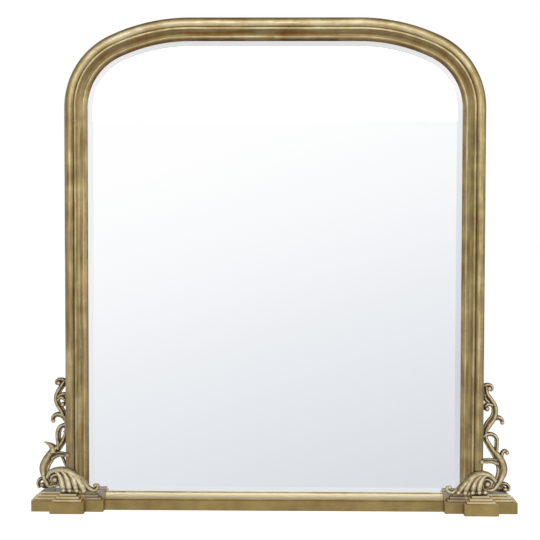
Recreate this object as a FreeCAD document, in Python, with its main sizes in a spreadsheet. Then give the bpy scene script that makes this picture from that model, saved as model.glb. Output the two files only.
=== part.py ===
"""Arched overmantel mirror in an antique gold frame.

The frame is built of moulded members joined with dowels: two stiles, two arched
corners, a top rail and a base rail between two breakfront plinths.  A bevelled
mirror plate lies in the rebate on rubber blocks, backed by felt and a board that
is screwed to the ledge behind it.  Cast scrolls and acanthus leaves stand on the
plinths beside the stiles, and two D rings hang from straps on the back.

Millimetres.  +X is right, +Y points to the wall and +Z is up, with the origin on
the floor below the middle of the part.  "depth" counts forward from the back face
of the frame and "inset" counts inward from the outer edge of a member.
"""
import FreeCAD, Part
import math
import os

import Sketcher

os.makedirs("parts", exist_ok=True)
doc = FreeCAD.newDocument("overmantel_mirror")
sheet = doc.addObject("Spreadsheet::Sheet", "Sizes")

LEFT = -1
RIGHT = 1
SIDE_NAMES = {LEFT: "left", RIGHT: "right"}


class Size:
    """A length or angle with its value and the sheet expression that gives it."""

    def __init__(self, value, text):
        self.value = float(value)
        self.text = text

    def __add__(self, other):
        other = as_size(other)
        return Size(self.value + other.value, f"({self.text} + {other.text})")

    def __sub__(self, other):
        other = as_size(other)
        return Size(self.value - other.value, f"({self.text} - {other.text})")

    def __mul__(self, other):
        other = as_size(other)
        return Size(self.value * other.value, f"({self.text} * {other.text})")

    def __truediv__(self, other):
        other = as_size(other)
        return Size(self.value / other.value, f"({self.text} / {other.text})")

    def __radd__(self, other):
        return as_size(other) + self

    def __rsub__(self, other):
        return as_size(other) - self

    def __rmul__(self, other):
        return as_size(other) * self

    def __neg__(self):
        return as_size(0) - self


def as_size(number):
    """Return a plain number as a Size, and a Size as it is."""
    if isinstance(number, Size):
        return number
    return Size(number, f"{number:.6f}")


def cosine(angle):
    return Size(math.cos(math.radians(angle.value)), f"cos({angle.text})")


def sine(angle):
    return Size(math.sin(math.radians(angle.value)), f"sin({angle.text})")


def size(alias, value, meaning):
    """Write one driving dimension to the sheet and return it."""
    row = size.next_row
    size.next_row += 1
    sheet.set(f"A{row}", meaning)
    sheet.set(f"B{row}", str(value))
    sheet.setAlias(f"B{row}", alias)
    return Size(value, f"Sizes.{alias}")


size.next_row = 1

# Overall form of the frame
frame_width = size("frame_width", 1067, "width over the outer edges of the stiles")
overall_height = size("overall_height", 1250, "height from the floor to the top of the arch")
member_width = size("member_width", 56, "width of the moulded members, seen from the front")
small_radius = size("corner_small_radius", 200, "outer radius where the arch leaves the stile")
small_sweep = size("corner_small_sweep", 65, "angle over which the small radius runs")
large_radius = size("corner_large_radius", 483, "outer radius that runs into the top rail")

# Moulding, from the outer edge inward
side_depth = size("side_depth", 33, "depth of the plain outer side")
quirk_width = size("quirk_width", 1.5, "flat step at the foot of the large torus")
torus_width = size("torus_width", 22, "width of the large torus")
torus_radius = size("torus_radius", 13.2, "radius of the large torus")
torus_foot_depth = size("torus_foot_depth", 46, "depth at the inner foot of the large torus")
groove_width = size("groove_width", 2, "width of the groove beside the torus")
groove_depth = size("groove_depth", 3, "how far the groove is cut in")
bead_width = size("bead_width", 6, "width of each small bead")
bead_radius = size("bead_radius", 3.6, "radius of each small bead")
cove_width = size("cove_width", 13.5, "width of the cove")
cove_radius = size("cove_radius", 14, "radius of the cove")
cove_foot_depth = size("cove_foot_depth", 34, "depth at the inner foot of the cove")
lip_depth = size("lip_depth", 31, "depth at the front of the sight edge")

# Glazing
glass_face = size("glass_face_depth", 26, "depth of the front of the mirror plate")
glass_thickness = size("glass_thickness", 5, "mirror plate")
bevel_width = size("bevel_width", 24.5, "bevel around the mirror plate")
bevel_drop = size("bevel_drop", 2.5, "how much thinner the plate is at its edge")
felt_thickness = size("felt_thickness", 3, "felt between plate and board")
board_thickness = size("board_thickness", 6, "backboard")
glass_overlap = size("glass_overlap", 9, "how far the members lap over the rebate")
board_ledge = size("board_ledge", 15, "ledge that carries the backboard")
edge_clearance = size("edge_clearance", 1, "room around the plate and around the board")

# Base rail
rail_depth = size("rail_depth", 52, "depth of the base rail's square part")
rail_face_height = size("rail_face_height", 24.5, "height of the base rail's square part")
rail_sight_height = size("rail_sight_height", 41, "height of the base rail's sight edge")
rail_ledge = size("rail_ledge", 7, "flat on top of the base rail's square part")
rail_fillet = size("rail_fillet", 2.5, "upright below the base rail's ovolo")
rail_ovolo_radius = size("rail_ovolo_radius", 16, "radius of the base rail's ovolo")
board_foot = size("board_foot_height", 12, "height at which the backboard's rebate starts")

# Plinths
plinth_overhang = size("plinth_overhang", 81.5, "plinth outside the stile's outer edge")
plinth_outer_width = size("plinth_outer_width", 51, "outer wing of the breakfront")
plinth_middle_width = size("plinth_middle_width", 86, "forward part of the breakfront")
plinth_inner_width = size("plinth_inner_width", 46, "inner wing of the breakfront")
plinth_wing_depth = size("plinth_wing_depth", 74, "depth of the wings")
plinth_front_depth = size("plinth_front_depth", 100, "depth of the forward part")
plinth_core_depth = size("plinth_core_depth", 50, "depth of the square inner end above the slab")
slab_height = size("slab_height", 28, "lowest board of the plinth")
step_rise = size("step_rise", 6, "thickness of each stepped board")
step_tread = size("step_tread", 7.3, "how far each stepped board is set back")

# Dowels and pins
dowel_diameter = size("dowel_diameter", 8, "dowels in the frame joints")
dowel_length = size("dowel_length", 36, "dowels in the frame joints")
dowel_inset = size("dowel_inset", 12, "outer dowel from the member's outer edge")
dowel_pitch = size("dowel_pitch", 14, "between the two dowels of a joint")
dowel_depth = size("dowel_depth", 20, "dowels from the back face")
rail_dowel_height = size("rail_dowel_height", 12, "dowels of the base rail above the floor")
rail_dowel_depth = size("rail_dowel_depth", 28, "rear dowel of the base rail from the back face")
pin_diameter = size("pin_diameter", 4, "pins that hold the castings")
pin_length = size("pin_length", 16, "pins that hold the castings")
fit_clearance = size("fit_clearance", 0.1, "room around dowels, pins and screws, on the radius")
end_clearance = size("end_clearance", 0.5, "room past the end of dowels, pins and screws")

# Screws
screw_head_diameter = size("screw_head_diameter", 7, "pan head")
screw_head_height = size("screw_head_height", 2.4, "pan head")
screw_diameter = size("screw_diameter", 3.5, "shank")
board_screw_length = size("board_screw_length", 18, "backboard screws below the head")
board_screw_margin = size("board_screw_margin", 90, "first backboard screw from a member's end")
strap_screw_length = size("strap_screw_length", 14, "hanger screws below the head")

# Hanging hardware
ring_drop = size("ring_drop", 118.5, "ring axis below the foot of the arch")
hanger_inset = size("hanger_inset", 18, "hanger from the stile's outer edge")
strap_width = size("strap_width", 18, "hanger strap")
strap_length = size("strap_length", 62, "hanger strap below the ring axis")
strap_thickness = size("strap_thickness", 1.5, "hanger strap")
strap_screw_start = size("strap_screw_start", 36, "upper strap screw below the ring axis")
strap_screw_pitch = size("strap_screw_pitch", 17, "between the strap screws")
wire_radius = size("ring_wire_radius", 2, "wire of the D ring")
eye_clearance = size("eye_clearance", 0.06, "running clearance in the eye, on the radius")
ring_lift = size("ring_lift", 0.36, "room between the hanging ring and its strap")
ring_span = size("ring_span", 27, "width of the D ring between wire centres")
ring_bend = size("ring_bend_radius", 3, "bend beside the straight bar of the ring")
ring_side = size("ring_side_length", 5, "straight side of the ring")
bumper_diameter = size("bumper_diameter", 16, "wall bumpers")
bumper_thickness = size("bumper_thickness", 8, "wall bumpers")
bumper_height = size("bumper_height", 14, "wall bumpers above the floor")
bumper_inset = size("bumper_inset", 30, "wall bumpers from the plinth's outer end")

# Setting blocks
block_length = size("block_length", 60, "rubber block under the mirror plate")
block_thickness = size("block_thickness", 3, "rubber block under the mirror plate")
block_offset = size("block_offset", 300, "blocks from the middle of the base rail")

# Castings
scroll_back = size("scroll_back_depth", 18, "depth of the flat back of the scrolls")
scroll_thickness = size("scroll_thickness", 20, "scrolls, at their crest")
scroll_parting = size("scroll_parting_height", 166, "joint between the scrolls, above the cap")
branch_thickness = size("branch_thickness", 42, "branches that lap round the stile")
leaf_back = size("leaf_back_depth", 46, "depth of the back of the leaf's crest")
leaf_flare = size("leaf_flare", 16, "how far the leaf spreads forward at its foot")
leaf_thickness = size("leaf_thickness", 11, "leaf lobes")

# Stepped boards on each plinth's slab, from the bottom up
STEP_BOARDS = ("lower_step", "upper_step", "cap")

# Sizes that follow from the driving ones
back_y = (plinth_front_depth - bumper_thickness) / 2
half_width = frame_width / 2
cap_top = slab_height + len(STEP_BOARDS) * step_rise
corner_width = small_radius + (large_radius - small_radius) * cosine(small_sweep)
corner_height = large_radius - (large_radius - small_radius) * sine(small_sweep)
spring_height = overall_height - corner_height
stile_length = spring_height - cap_top
hanger_height = spring_height - ring_drop
rail_end = half_width + plinth_overhang - plinth_outer_width - plinth_middle_width - plinth_inner_width
glass_inset = member_width - glass_overlap
board_inset = glass_inset - board_ledge
ledge_depth = glass_face - glass_thickness - felt_thickness
board_back = ledge_depth - board_thickness
groove_start = quirk_width + torus_width
bead_start = groove_start + groove_width
cove_start = bead_start + bead_width
inner_bead_start = cove_start + cove_width
lip_start = inner_bead_start + bead_width
hole_diameter = dowel_diameter + 2 * fit_clearance
dowel_hole_depth = dowel_length / 2 + end_clearance
pin_hole_diameter = pin_diameter + 2 * fit_clearance
screw_hole_diameter = screw_diameter + 2 * fit_clearance
eye_bore = wire_radius + eye_clearance
eye_radius = eye_bore + strap_thickness
eye_depth = strap_thickness + ring_lift + wire_radius
strap_screw_places = [strap_screw_start, strap_screw_start + strap_screw_pitch]
rail_dowel_places = [rail_dowel_depth, rail_dowel_depth + dowel_pitch]
dowel_places = [dowel_inset, dowel_inset + dowel_pitch]

NODES = []


def vector(across, up):
    return FreeCAD.Vector(as_size(across).value, as_size(up).value, 0)


def new_body(label):
    """Start one sub-part made of sketches and features."""
    body = doc.addObject("PartDesign::Body", label)
    body.Label = label
    NODES.append(body)
    return body


def place(thing, x, y, z, rotation=None):
    """Turn a sub-part and bind its position to the sheet."""
    base = FreeCAD.Vector(as_size(x).value, as_size(y).value, as_size(z).value)
    thing.Placement = FreeCAD.Placement(base, rotation or FreeCAD.Rotation())
    for axis, amount in zip("xyz", (x, y, z)):
        thing.setExpression(f"Placement.Base.{axis}", as_size(amount).text)


def new_sketch(body, plane, offset=None):
    """Attach a sketch to one of the body's origin planes, moved along its normal."""
    sketch = body.newObject("Sketcher::SketchObject", "Sketch")
    support = [feature for feature in body.Origin.OriginFeatures if feature.Role == plane]
    sketch.AttachmentSupport = [(support[0], "")]
    sketch.MapMode = "FlatFace"
    if offset is not None:
        sketch.setExpression("AttachmentOffset.Base.z", offset.text)
    return sketch


def bind(sketch, constraint, amount):
    """Add a sketch dimension that follows the sheet."""
    index = sketch.addConstraint(constraint)
    sketch.setExpression(f"Constraints[{index}]", amount.text)


def pin_point(sketch, geometry, position, x, y):
    """Fix one point of a sketch by its two coordinates."""
    x = as_size(x)
    y = as_size(y)
    bind(sketch, Sketcher.Constraint("DistanceX", -1, 1, geometry, position, x.value), x)
    bind(sketch, Sketcher.Constraint("DistanceY", -1, 1, geometry, position, y.value), y)


def arc_between(start, end, radius, hand):
    """Return a circular arc and whether it runs from start to end anticlockwise.

    hand is +1 where the arc bulges to the right of the way from start to end.
    """
    chord = end - start
    middle = (start + end) * 0.5
    left_normal = FreeCAD.Vector(-chord.y, chord.x, 0).normalize()
    reach = math.sqrt(max(radius * radius - chord.Length ** 2 / 4, 0.0))
    centre = middle + left_normal * (reach * hand)
    circle = Part.Circle(centre, FreeCAD.Vector(0, 0, 1), radius)
    first, last = (start, end) if hand > 0 else (end, start)
    angles = [math.atan2(point.y - centre.y, point.x - centre.x) for point in (first, last)]
    return Part.ArcOfCircle(circle, angles[0], angles[1]), hand > 0


def draw_outline(sketch, corners, arcs=None):
    """Draw a closed outline of lines, with arcs where they are asked for.

    arcs maps the index of a corner to the radius and hand of the arc that leaves it.
    """
    arcs = arcs or {}
    ends = []
    for index, corner in enumerate(corners):
        start = vector(*corner)
        end = vector(*corners[(index + 1) % len(corners)])
        if index in arcs:
            radius, hand = arcs[index]
            curve, forward = arc_between(start, end, radius.value, hand)
            geometry = sketch.addGeometry(curve)
            ends.append((geometry, 1, 2) if forward else (geometry, 2, 1))
        else:
            geometry = sketch.addGeometry(Part.LineSegment(start, end))
            ends.append((geometry, 1, 2))
    for index, (geometry, first, last) in enumerate(ends):
        following = ends[(index + 1) % len(ends)]
        sketch.addConstraint(Sketcher.Constraint("Coincident", geometry, last, following[0], following[1]))
    for (geometry, first, last), corner in zip(ends, corners):
        pin_point(sketch, geometry, first, *corner)
    for index, (radius, hand) in arcs.items():
        bind(sketch, Sketcher.Constraint("Radius", ends[index][0], radius.value), radius)


def draw_circles(sketch, centres, diameter):
    """Draw equal circles at the given centres."""
    for x, y in centres:
        circle = Part.Circle(vector(x, y), FreeCAD.Vector(0, 0, 1), diameter.value / 2)
        geometry = sketch.addGeometry(circle)
        pin_point(sketch, geometry, 3, x, y)
        bind(sketch, Sketcher.Constraint("Diameter", geometry, diameter.value), diameter)


def pad(body, sketch, length, backward=False):
    feature = body.newObject("PartDesign::Pad", "Pad")
    feature.Profile = sketch
    feature.Reversed = backward
    feature.setExpression("Length", length.text)
    doc.recompute()
    return feature


def pocket(body, sketch, depth, backward=False):
    """Cut a sketch into a body and make sure that it removed something."""
    before = body.Shape.Volume
    feature = body.newObject("PartDesign::Pocket", "Pocket")
    feature.Profile = sketch
    feature.Reversed = backward
    feature.setExpression("Length", depth.text)
    doc.recompute()
    if body.Shape.Volume > before - 1e-6:
        raise RuntimeError(f"a pocket in {body.Label} cuts nothing")


def bore(body, plane, offset, centres, diameter, depth, backward=False):
    """Drill equal round holes from a plane into a body."""
    sketch = new_sketch(body, plane, as_size(offset))
    draw_circles(sketch, centres, diameter)
    pocket(body, sketch, depth, backward)


def draw_moulding(sketch, shift):
    """Draw the section of the frame members: x is the inset less shift, y the depth."""
    section = [
        (0, 0),
        (board_inset, 0),
        (board_inset, ledge_depth),
        (glass_inset, ledge_depth),
        (glass_inset, glass_face),
        (member_width, glass_face),
        (member_width, lip_depth),
        (lip_start, cove_foot_depth),
        (inner_bead_start, cove_foot_depth),
        (cove_start, torus_foot_depth),
        (bead_start, torus_foot_depth),
        (groove_start + groove_width / 2, torus_foot_depth - groove_depth),
        (groove_start, torus_foot_depth),
        (quirk_width, side_depth),
        (0, side_depth),
    ]
    arcs = {
        7: (bead_radius, RIGHT),
        8: (cove_radius, LEFT),
        9: (bead_radius, RIGHT),
        12: (torus_radius, RIGHT),
    }
    draw_outline(sketch, [(as_size(inset) - shift, depth) for inset, depth in section], arcs)


STILE_TURN = {
    LEFT: FreeCAD.Rotation(FreeCAD.Vector(1, 0, 0), 180),
    RIGHT: FreeCAD.Rotation(FreeCAD.Vector(0, 0, 1), 180),
}


def board_screw_spacing(length, count):
    """Return places of the backboard screws along a straight member."""
    pitch = (length - 2 * board_screw_margin) / (count - 1)
    return [board_screw_margin + pitch * index for index in range(count)]


STILE_SCREWS = 4
TOP_SCREWS = 2
RAIL_SCREWS = 4
screw_inset = board_inset + board_ledge / 2
screw_bite = board_screw_length - board_thickness + end_clearance


def make_stile(side):
    """Moulded upright, from the plinth cap to the spring of the arch."""
    body = new_body(f"stile_{SIDE_NAMES[side]}")
    sketch = new_sketch(body, "XY_Plane")
    draw_moulding(sketch, as_size(0))
    pad(body, sketch, stile_length, side == RIGHT)
    joint = [(inset, dowel_depth) for inset in dowel_places]
    bore(body, "XY_Plane", 0, joint, hole_diameter, dowel_hole_depth, side == LEFT)
    foot = -side * stile_length
    bore(body, "XY_Plane", foot, joint, hole_diameter, dowel_hole_depth, side == RIGHT)
    screws = [(screw_inset, -side * along) for along in board_screw_spacing(stile_length, STILE_SCREWS)]
    bore(body, "XZ_Plane", -ledge_depth, screws, screw_hole_diameter, screw_bite)
    strap = [(hanger_inset, -side * (ring_drop + along)) for along in strap_screw_places]
    strap_bite = strap_screw_length - strap_thickness + end_clearance
    bore(body, "XZ_Plane", 0, strap, screw_hole_diameter, strap_bite)
    pins = [(pin_depth, -side * (stile_length - height)) for height in stile_pin_heights(side)]
    bore(body, "YZ_Plane", 0, pins, pin_hole_diameter, pin_length / 2 + end_clearance, True)
    place(body, side * half_width, back_y, spring_height, STILE_TURN[side])
    return body


def make_corner(side):
    """Arched corner: two tangent arcs from the stile to the top rail."""
    body = new_body(f"arch_corner_{SIDE_NAMES[side]}")
    turn_axis = FreeCAD.Vector(0, side, 0)
    reach = large_radius - small_radius
    arcs = [
        (small_radius, small_radius, as_size(0), as_size(0), small_sweep),
        (large_radius, corner_width, -side * reach * sine(small_sweep), small_sweep, 90 - small_sweep),
    ]
    for radius, centre_x, centre_z, start, sweep in arcs:
        sketch = new_sketch(body, "XY_Plane")
        turn = FreeCAD.Rotation(turn_axis, start.value)
        centre = FreeCAD.Vector(centre_x.value, 0, centre_z.value)
        sketch.AttachmentOffset = FreeCAD.Placement(centre, turn)
        sketch.setExpression("AttachmentOffset.Base.x", centre_x.text)
        sketch.setExpression("AttachmentOffset.Base.z", centre_z.text)
        if start.value:
            sketch.setExpression("AttachmentOffset.Rotation.Angle", start.text)
        draw_moulding(sketch, radius)
        feature = body.newObject("PartDesign::Revolution", "Revolution")
        feature.Profile = sketch
        feature.ReferenceAxis = (sketch, ["V_Axis"])
        feature.setExpression("Angle", sweep.text)
        feature.Reversed = side == LEFT
        doc.recompute()
    joint = [(inset, dowel_depth) for inset in dowel_places]
    bore(body, "XY_Plane", 0, joint, hole_diameter, dowel_hole_depth, side == RIGHT)
    top_joint = [(dowel_depth, side * (corner_height - inset)) for inset in dowel_places]
    bore(body, "YZ_Plane", corner_width, top_joint, hole_diameter, dowel_hole_depth)
    place(body, side * half_width, back_y, spring_height, STILE_TURN[side])
    return body


def make_top_rail():
    """Straight moulded member between the arched corners."""
    body = new_body("top_rail")
    length = frame_width - 2 * corner_width
    sketch = new_sketch(body, "XY_Plane")
    draw_moulding(sketch, as_size(0))
    pad(body, sketch, length)
    joint = [(inset, dowel_depth) for inset in dowel_places]
    bore(body, "XY_Plane", 0, joint, hole_diameter, dowel_hole_depth, True)
    bore(body, "XY_Plane", length, joint, hole_diameter, dowel_hole_depth)
    screws = [(screw_inset, along) for along in board_screw_spacing(length, TOP_SCREWS)]
    bore(body, "XZ_Plane", -ledge_depth, screws, screw_hole_diameter, screw_bite)
    down = FreeCAD.Vector(0, 0, -1)
    forward = FreeCAD.Vector(0, -1, 0)
    leftward = FreeCAD.Vector(-1, 0, 0)
    turn = FreeCAD.Rotation(down, forward, leftward, "XYZ")
    place(body, length / 2, back_y, overall_height, turn)


def make_base_rail():
    """Rail under the glass, between the plinths."""
    body = new_body("base_rail")
    length = 2 * rail_end
    sketch = new_sketch(body, "YZ_Plane")
    ovolo_depth = rail_depth - rail_ledge
    ovolo_foot = rail_face_height + rail_fillet
    section = [
        (0, 0),
        (0, board_foot),
        (ledge_depth, board_foot),
        (ledge_depth, slab_height),
        (glass_face, slab_height),
        (glass_face, rail_sight_height),
        (lip_depth, rail_sight_height),
        (ovolo_depth, ovolo_foot),
        (ovolo_depth, rail_face_height),
        (rail_depth, rail_face_height),
        (rail_depth, 0),
    ]
    corners = [(-as_size(depth), height) for depth, height in section]
    draw_outline(sketch, corners, {6: (rail_ovolo_radius, LEFT)})
    pad(body, sketch, length)
    joint = [(-depth, rail_dowel_height) for depth in rail_dowel_places]
    bore(body, "YZ_Plane", 0, joint, hole_diameter, dowel_hole_depth, True)
    bore(body, "YZ_Plane", length, joint, hole_diameter, dowel_hole_depth)
    middle = (board_foot + slab_height) / 2
    screws = [(along, middle) for along in board_screw_spacing(length, RAIL_SCREWS)]
    bore(body, "XZ_Plane", ledge_depth, screws, screw_hole_diameter, screw_bite, True)
    place(body, -rail_end, back_y, 0)


def plinth_plan(inset):
    """Return the breakfront plan of a stepped board as (distance from middle, depth)."""
    inner = rail_end
    middle_inner = inner + plinth_inner_width + inset
    middle_outer = inner + plinth_inner_width + plinth_middle_width - inset
    outer = half_width + plinth_overhang - inset
    wing = plinth_wing_depth - inset
    front = plinth_front_depth - inset
    glass_edge = half_width - glass_inset
    board_edge = half_width - board_inset
    return [
        (inner, glass_face),
        (inner, plinth_core_depth),
        (inner + inset, plinth_core_depth),
        (inner + inset, wing),
        (middle_inner, wing),
        (middle_inner, front),
        (middle_outer, front),
        (middle_outer, wing),
        (outer, wing),
        (outer, 0),
        (board_edge, 0),
        (board_edge, ledge_depth),
        (glass_edge, ledge_depth),
        (glass_edge, glass_face),
    ]


def slab_plan():
    """Return the plan of the plinth's lowest board."""
    inner = rail_end
    middle_inner = inner + plinth_inner_width
    middle_outer = middle_inner + plinth_middle_width
    outer = half_width + plinth_overhang
    return [
        (inner, 0),
        (inner, plinth_wing_depth),
        (middle_inner, plinth_wing_depth),
        (middle_inner, plinth_front_depth),
        (middle_outer, plinth_front_depth),
        (middle_outer, plinth_wing_depth),
        (outer, plinth_wing_depth),
        (outer, 0),
    ]


def draw_plan(sketch, plan, side):
    draw_outline(sketch, [(side * across, -as_size(depth)) for across, depth in plan])


def stile_dowel_centres(side):
    """Return plan positions of the dowels between plinth and stile."""
    return [(side * (half_width - inset), -dowel_depth) for inset in dowel_places]


def make_slab(side):
    """Lowest board of a plinth, on which the part stands."""
    body = new_body(f"plinth_slab_{SIDE_NAMES[side]}")
    sketch = new_sketch(body, "XY_Plane")
    draw_plan(sketch, slab_plan(), side)
    pad(body, sketch, slab_height)
    rebate = new_sketch(body, "XZ_Plane")
    board_edge = half_width - board_inset
    corners = [
        (rail_end, board_foot),
        (board_edge, board_foot),
        (board_edge, slab_height),
        (rail_end, slab_height),
    ]
    draw_outline(rebate, [(side * across, height) for across, height in corners])
    pocket(body, rebate, ledge_depth, True)
    joint = [(-depth, rail_dowel_height) for depth in rail_dowel_places]
    bore(body, "YZ_Plane", side * rail_end, joint, hole_diameter, dowel_hole_depth, side == RIGHT)
    place(body, 0, back_y, 0)


def make_step(side, label, level):
    """One stepped board of a plinth; level counts up from the slab."""
    body = new_body(f"plinth_{label}_{SIDE_NAMES[side]}")
    sketch = new_sketch(body, "XY_Plane")
    draw_plan(sketch, plinth_plan(level * step_tread), side)
    pad(body, sketch, step_rise)
    bore(body, "XY_Plane", 0, stile_dowel_centres(side), hole_diameter, step_rise, True)
    if level > 1:
        pins = [(side * (half_width + outward), -depth) for outward, depth in cap_pin_places(side)]
        bore(body, "XY_Plane", 0, pins, pin_hole_diameter, step_rise, True)
    place(body, 0, back_y, slab_height + (level - 1) * step_rise)


def make_cylinders(label, radius, length, rotation, places):
    """Group of equal round pins, each a separate solid."""
    members = []
    for x, y, z in places:
        pin = doc.addObject("Part::Cylinder", "Pin")
        pin.setExpression("Radius", radius.text)
        pin.setExpression("Height", length.text)
        place(pin, x, y, z, rotation)
        members.append(pin)
    group = doc.addObject("Part::Compound", label)
    group.Label = label
    group.Links = members
    NODES.append(group)


UPRIGHT = FreeCAD.Rotation()
ALONG_X = FreeCAD.Rotation(FreeCAD.Vector(0, 1, 0), 90)
TO_WALL = FreeCAD.Rotation(FreeCAD.Vector(1, 0, 0), -90)
TO_FRONT = FreeCAD.Rotation(FreeCAD.Vector(1, 0, 0), 90)


def make_frame_dowels():
    """Dowels of the frame joints, one group for each length and way that they lie."""
    half = dowel_length / 2
    upright = []
    feet = []
    level = []
    foot_drop = len(STEP_BOARDS) * step_rise - end_clearance
    for side in (LEFT, RIGHT):
        for inset in dowel_places:
            across = side * (half_width - inset)
            upright.append((across, back_y - dowel_depth, spring_height - half))
            feet.append((across, back_y - dowel_depth, cap_top - foot_drop))
            end = side * (half_width - corner_width)
            level.append((end - half, back_y - dowel_depth, overall_height - inset))
        for depth in rail_dowel_places:
            level.append((side * rail_end - half, back_y - depth, rail_dowel_height))
    make_cylinders("spring_dowels", dowel_diameter / 2, dowel_length, UPRIGHT, upright)
    make_cylinders("foot_dowels", dowel_diameter / 2, half + foot_drop, UPRIGHT, feet)
    make_cylinders("rail_dowels", dowel_diameter / 2, dowel_length, ALONG_X, level)


def make_screws(label, length, places):
    """Group of pan head screws that point to the front; places are under their heads."""
    members = []
    for x, y, z in places:
        head = doc.addObject("Part::Cylinder", "Head")
        head.setExpression("Radius", (screw_head_diameter / 2).text)
        head.setExpression("Height", screw_head_height.text)
        place(head, x, y, z, TO_WALL)
        shank = doc.addObject("Part::Cylinder", "Shank")
        shank.setExpression("Radius", (screw_diameter / 2).text)
        shank.setExpression("Height", length.text)
        place(shank, x, y, z, TO_FRONT)
        screw = doc.addObject("Part::Fuse", "Screw")
        screw.Base = head
        screw.Tool = shank
        members.append(screw)
    group = doc.addObject("Part::Compound", label)
    group.Label = label
    group.Links = members
    NODES.append(group)


def board_screw_places():
    """Return the seats of the backboard screws on the board."""
    seat = back_y - board_back
    places = []
    for side in (LEFT, RIGHT):
        for along in board_screw_spacing(stile_length, STILE_SCREWS):
            places.append((side * (half_width - screw_inset), seat, spring_height - along))
    top_length = frame_width - 2 * corner_width
    for along in board_screw_spacing(top_length, TOP_SCREWS):
        places.append((top_length / 2 - along, seat, overall_height - screw_inset))
    for along in board_screw_spacing(2 * rail_end, RAIL_SCREWS):
        places.append((along - rail_end, seat, (board_foot + slab_height) / 2))
    return places


def draw_sheet_outline(sketch, inset, foot):
    """Draw the arched outline of a sheet whose edge lies at an inset from the frame."""
    side = half_width - inset
    knee_x = half_width - small_radius * (1 - cosine(small_sweep)) - inset * cosine(small_sweep)
    knee_z = spring_height + (small_radius - inset) * sine(small_sweep)
    crown_x = half_width - corner_width
    crown_z = overall_height - inset
    corners = [
        (-side, foot),
        (side, foot),
        (side, spring_height),
        (knee_x, knee_z),
        (crown_x, crown_z),
        (-crown_x, crown_z),
        (-knee_x, knee_z),
        (-side, spring_height),
    ]
    small = (small_radius - inset, RIGHT)
    large = (large_radius - inset, RIGHT)
    draw_outline(sketch, corners, {2: small, 3: large, 5: large, 6: small})


def make_sheet(label, inset, foot, back, thickness):
    """Flat arched sheet behind the frame; back is the depth of its rear face."""
    body = new_body(label)
    sketch = new_sketch(body, "XZ_Plane")
    draw_sheet_outline(sketch, inset, foot)
    pad(body, sketch, thickness)
    place(body, 0, back_y - back, 0)
    return body


def make_mirror_plate():
    """Silvered glass with a wide bevel around its front face."""
    inset = glass_inset + edge_clearance
    foot = slab_height + block_thickness
    back = glass_face - glass_thickness
    edge_thickness = glass_thickness - bevel_drop
    body = make_sheet("mirror_plate", inset, foot, back, edge_thickness)
    rim = new_sketch(body, "XZ_Plane", edge_thickness)
    draw_sheet_outline(rim, inset, foot)
    field = new_sketch(body, "XZ_Plane", glass_thickness)
    draw_sheet_outline(field, inset + bevel_width, foot + bevel_width)
    bevel = body.newObject("PartDesign::AdditiveLoft", "Bevel")
    bevel.Profile = rim
    bevel.Sections = [field]
    bevel.Ruled = True
    doc.recompute()


def make_backboard():
    """Board that closes the back, with a hole for each screw."""
    inset = board_inset + edge_clearance
    foot = board_foot + edge_clearance
    body = make_sheet("backboard", inset, foot, board_back, board_thickness)
    holes = [(x, z) for x, y, z in board_screw_places()]
    bore(body, "XZ_Plane", 0, holes, screw_hole_diameter, board_thickness, True)


def make_setting_blocks():
    """Rubber blocks that carry the mirror plate on the base rail."""
    members = []
    for side in (LEFT, RIGHT):
        block = doc.addObject("Part::Box", "Block")
        block.setExpression("Length", block_length.text)
        block.setExpression("Width", glass_thickness.text)
        block.setExpression("Height", block_thickness.text)
        place(block, side * block_offset - block_length / 2, back_y - glass_face, slab_height)
        members.append(block)
    group = doc.addObject("Part::Compound", "setting_blocks")
    group.Label = "setting_blocks"
    group.Links = members
    NODES.append(group)


def hanger_x(side):
    return side * (half_width - hanger_inset)


def make_strap(side):
    """Steel strap with a rolled eye for the ring's bar."""
    body = new_body(f"hanger_strap_{SIDE_NAMES[side]}")
    half = strap_width / 2
    plate = new_sketch(body, "XZ_Plane")
    draw_outline(plate, [(-half, -strap_length), (half, -strap_length), (half, 0), (-half, 0)])
    pad(body, plate, strap_thickness, True)
    roll = new_sketch(body, "YZ_Plane", -half)
    draw_circles(roll, [(eye_depth, 0)], 2 * eye_radius)
    pad(body, roll, strap_width)
    bore(body, "YZ_Plane", -half, [(eye_depth, 0)], 2 * eye_bore, strap_width, True)
    screws = [(0, -along) for along in strap_screw_places]
    bore(body, "XZ_Plane", 0, screws, screw_hole_diameter, strap_thickness)
    place(body, hanger_x(side), back_y, hanger_height)


def make_ring(side):
    """Wire D ring, hanging down from the eye."""
    body = new_body(f"d_ring_{SIDE_NAMES[side]}")
    half = ring_span / 2
    path = new_sketch(body, "XZ_Plane")
    shoulder = -ring_bend - ring_side
    corners = [
        (ring_bend - half, 0),
        (-half, -ring_bend),
        (-half, shoulder),
        (0, shoulder - half),
        (half, shoulder),
        (half, -ring_bend),
        (half - ring_bend, 0),
    ]
    bend = (ring_bend, RIGHT)
    bow = (half, RIGHT)
    arcs = {0: bend, 2: bow, 3: bow, 5: bend}
    draw_outline(path, corners, arcs)
    section = new_sketch(body, "YZ_Plane")
    draw_circles(section, [(0, 0)], 2 * wire_radius)
    pipe = body.newObject("PartDesign::AdditivePipe", "Wire")
    pipe.Profile = section
    pipe.Spine = path
    doc.recompute()
    place(body, hanger_x(side), back_y + eye_depth, hanger_height)


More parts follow.
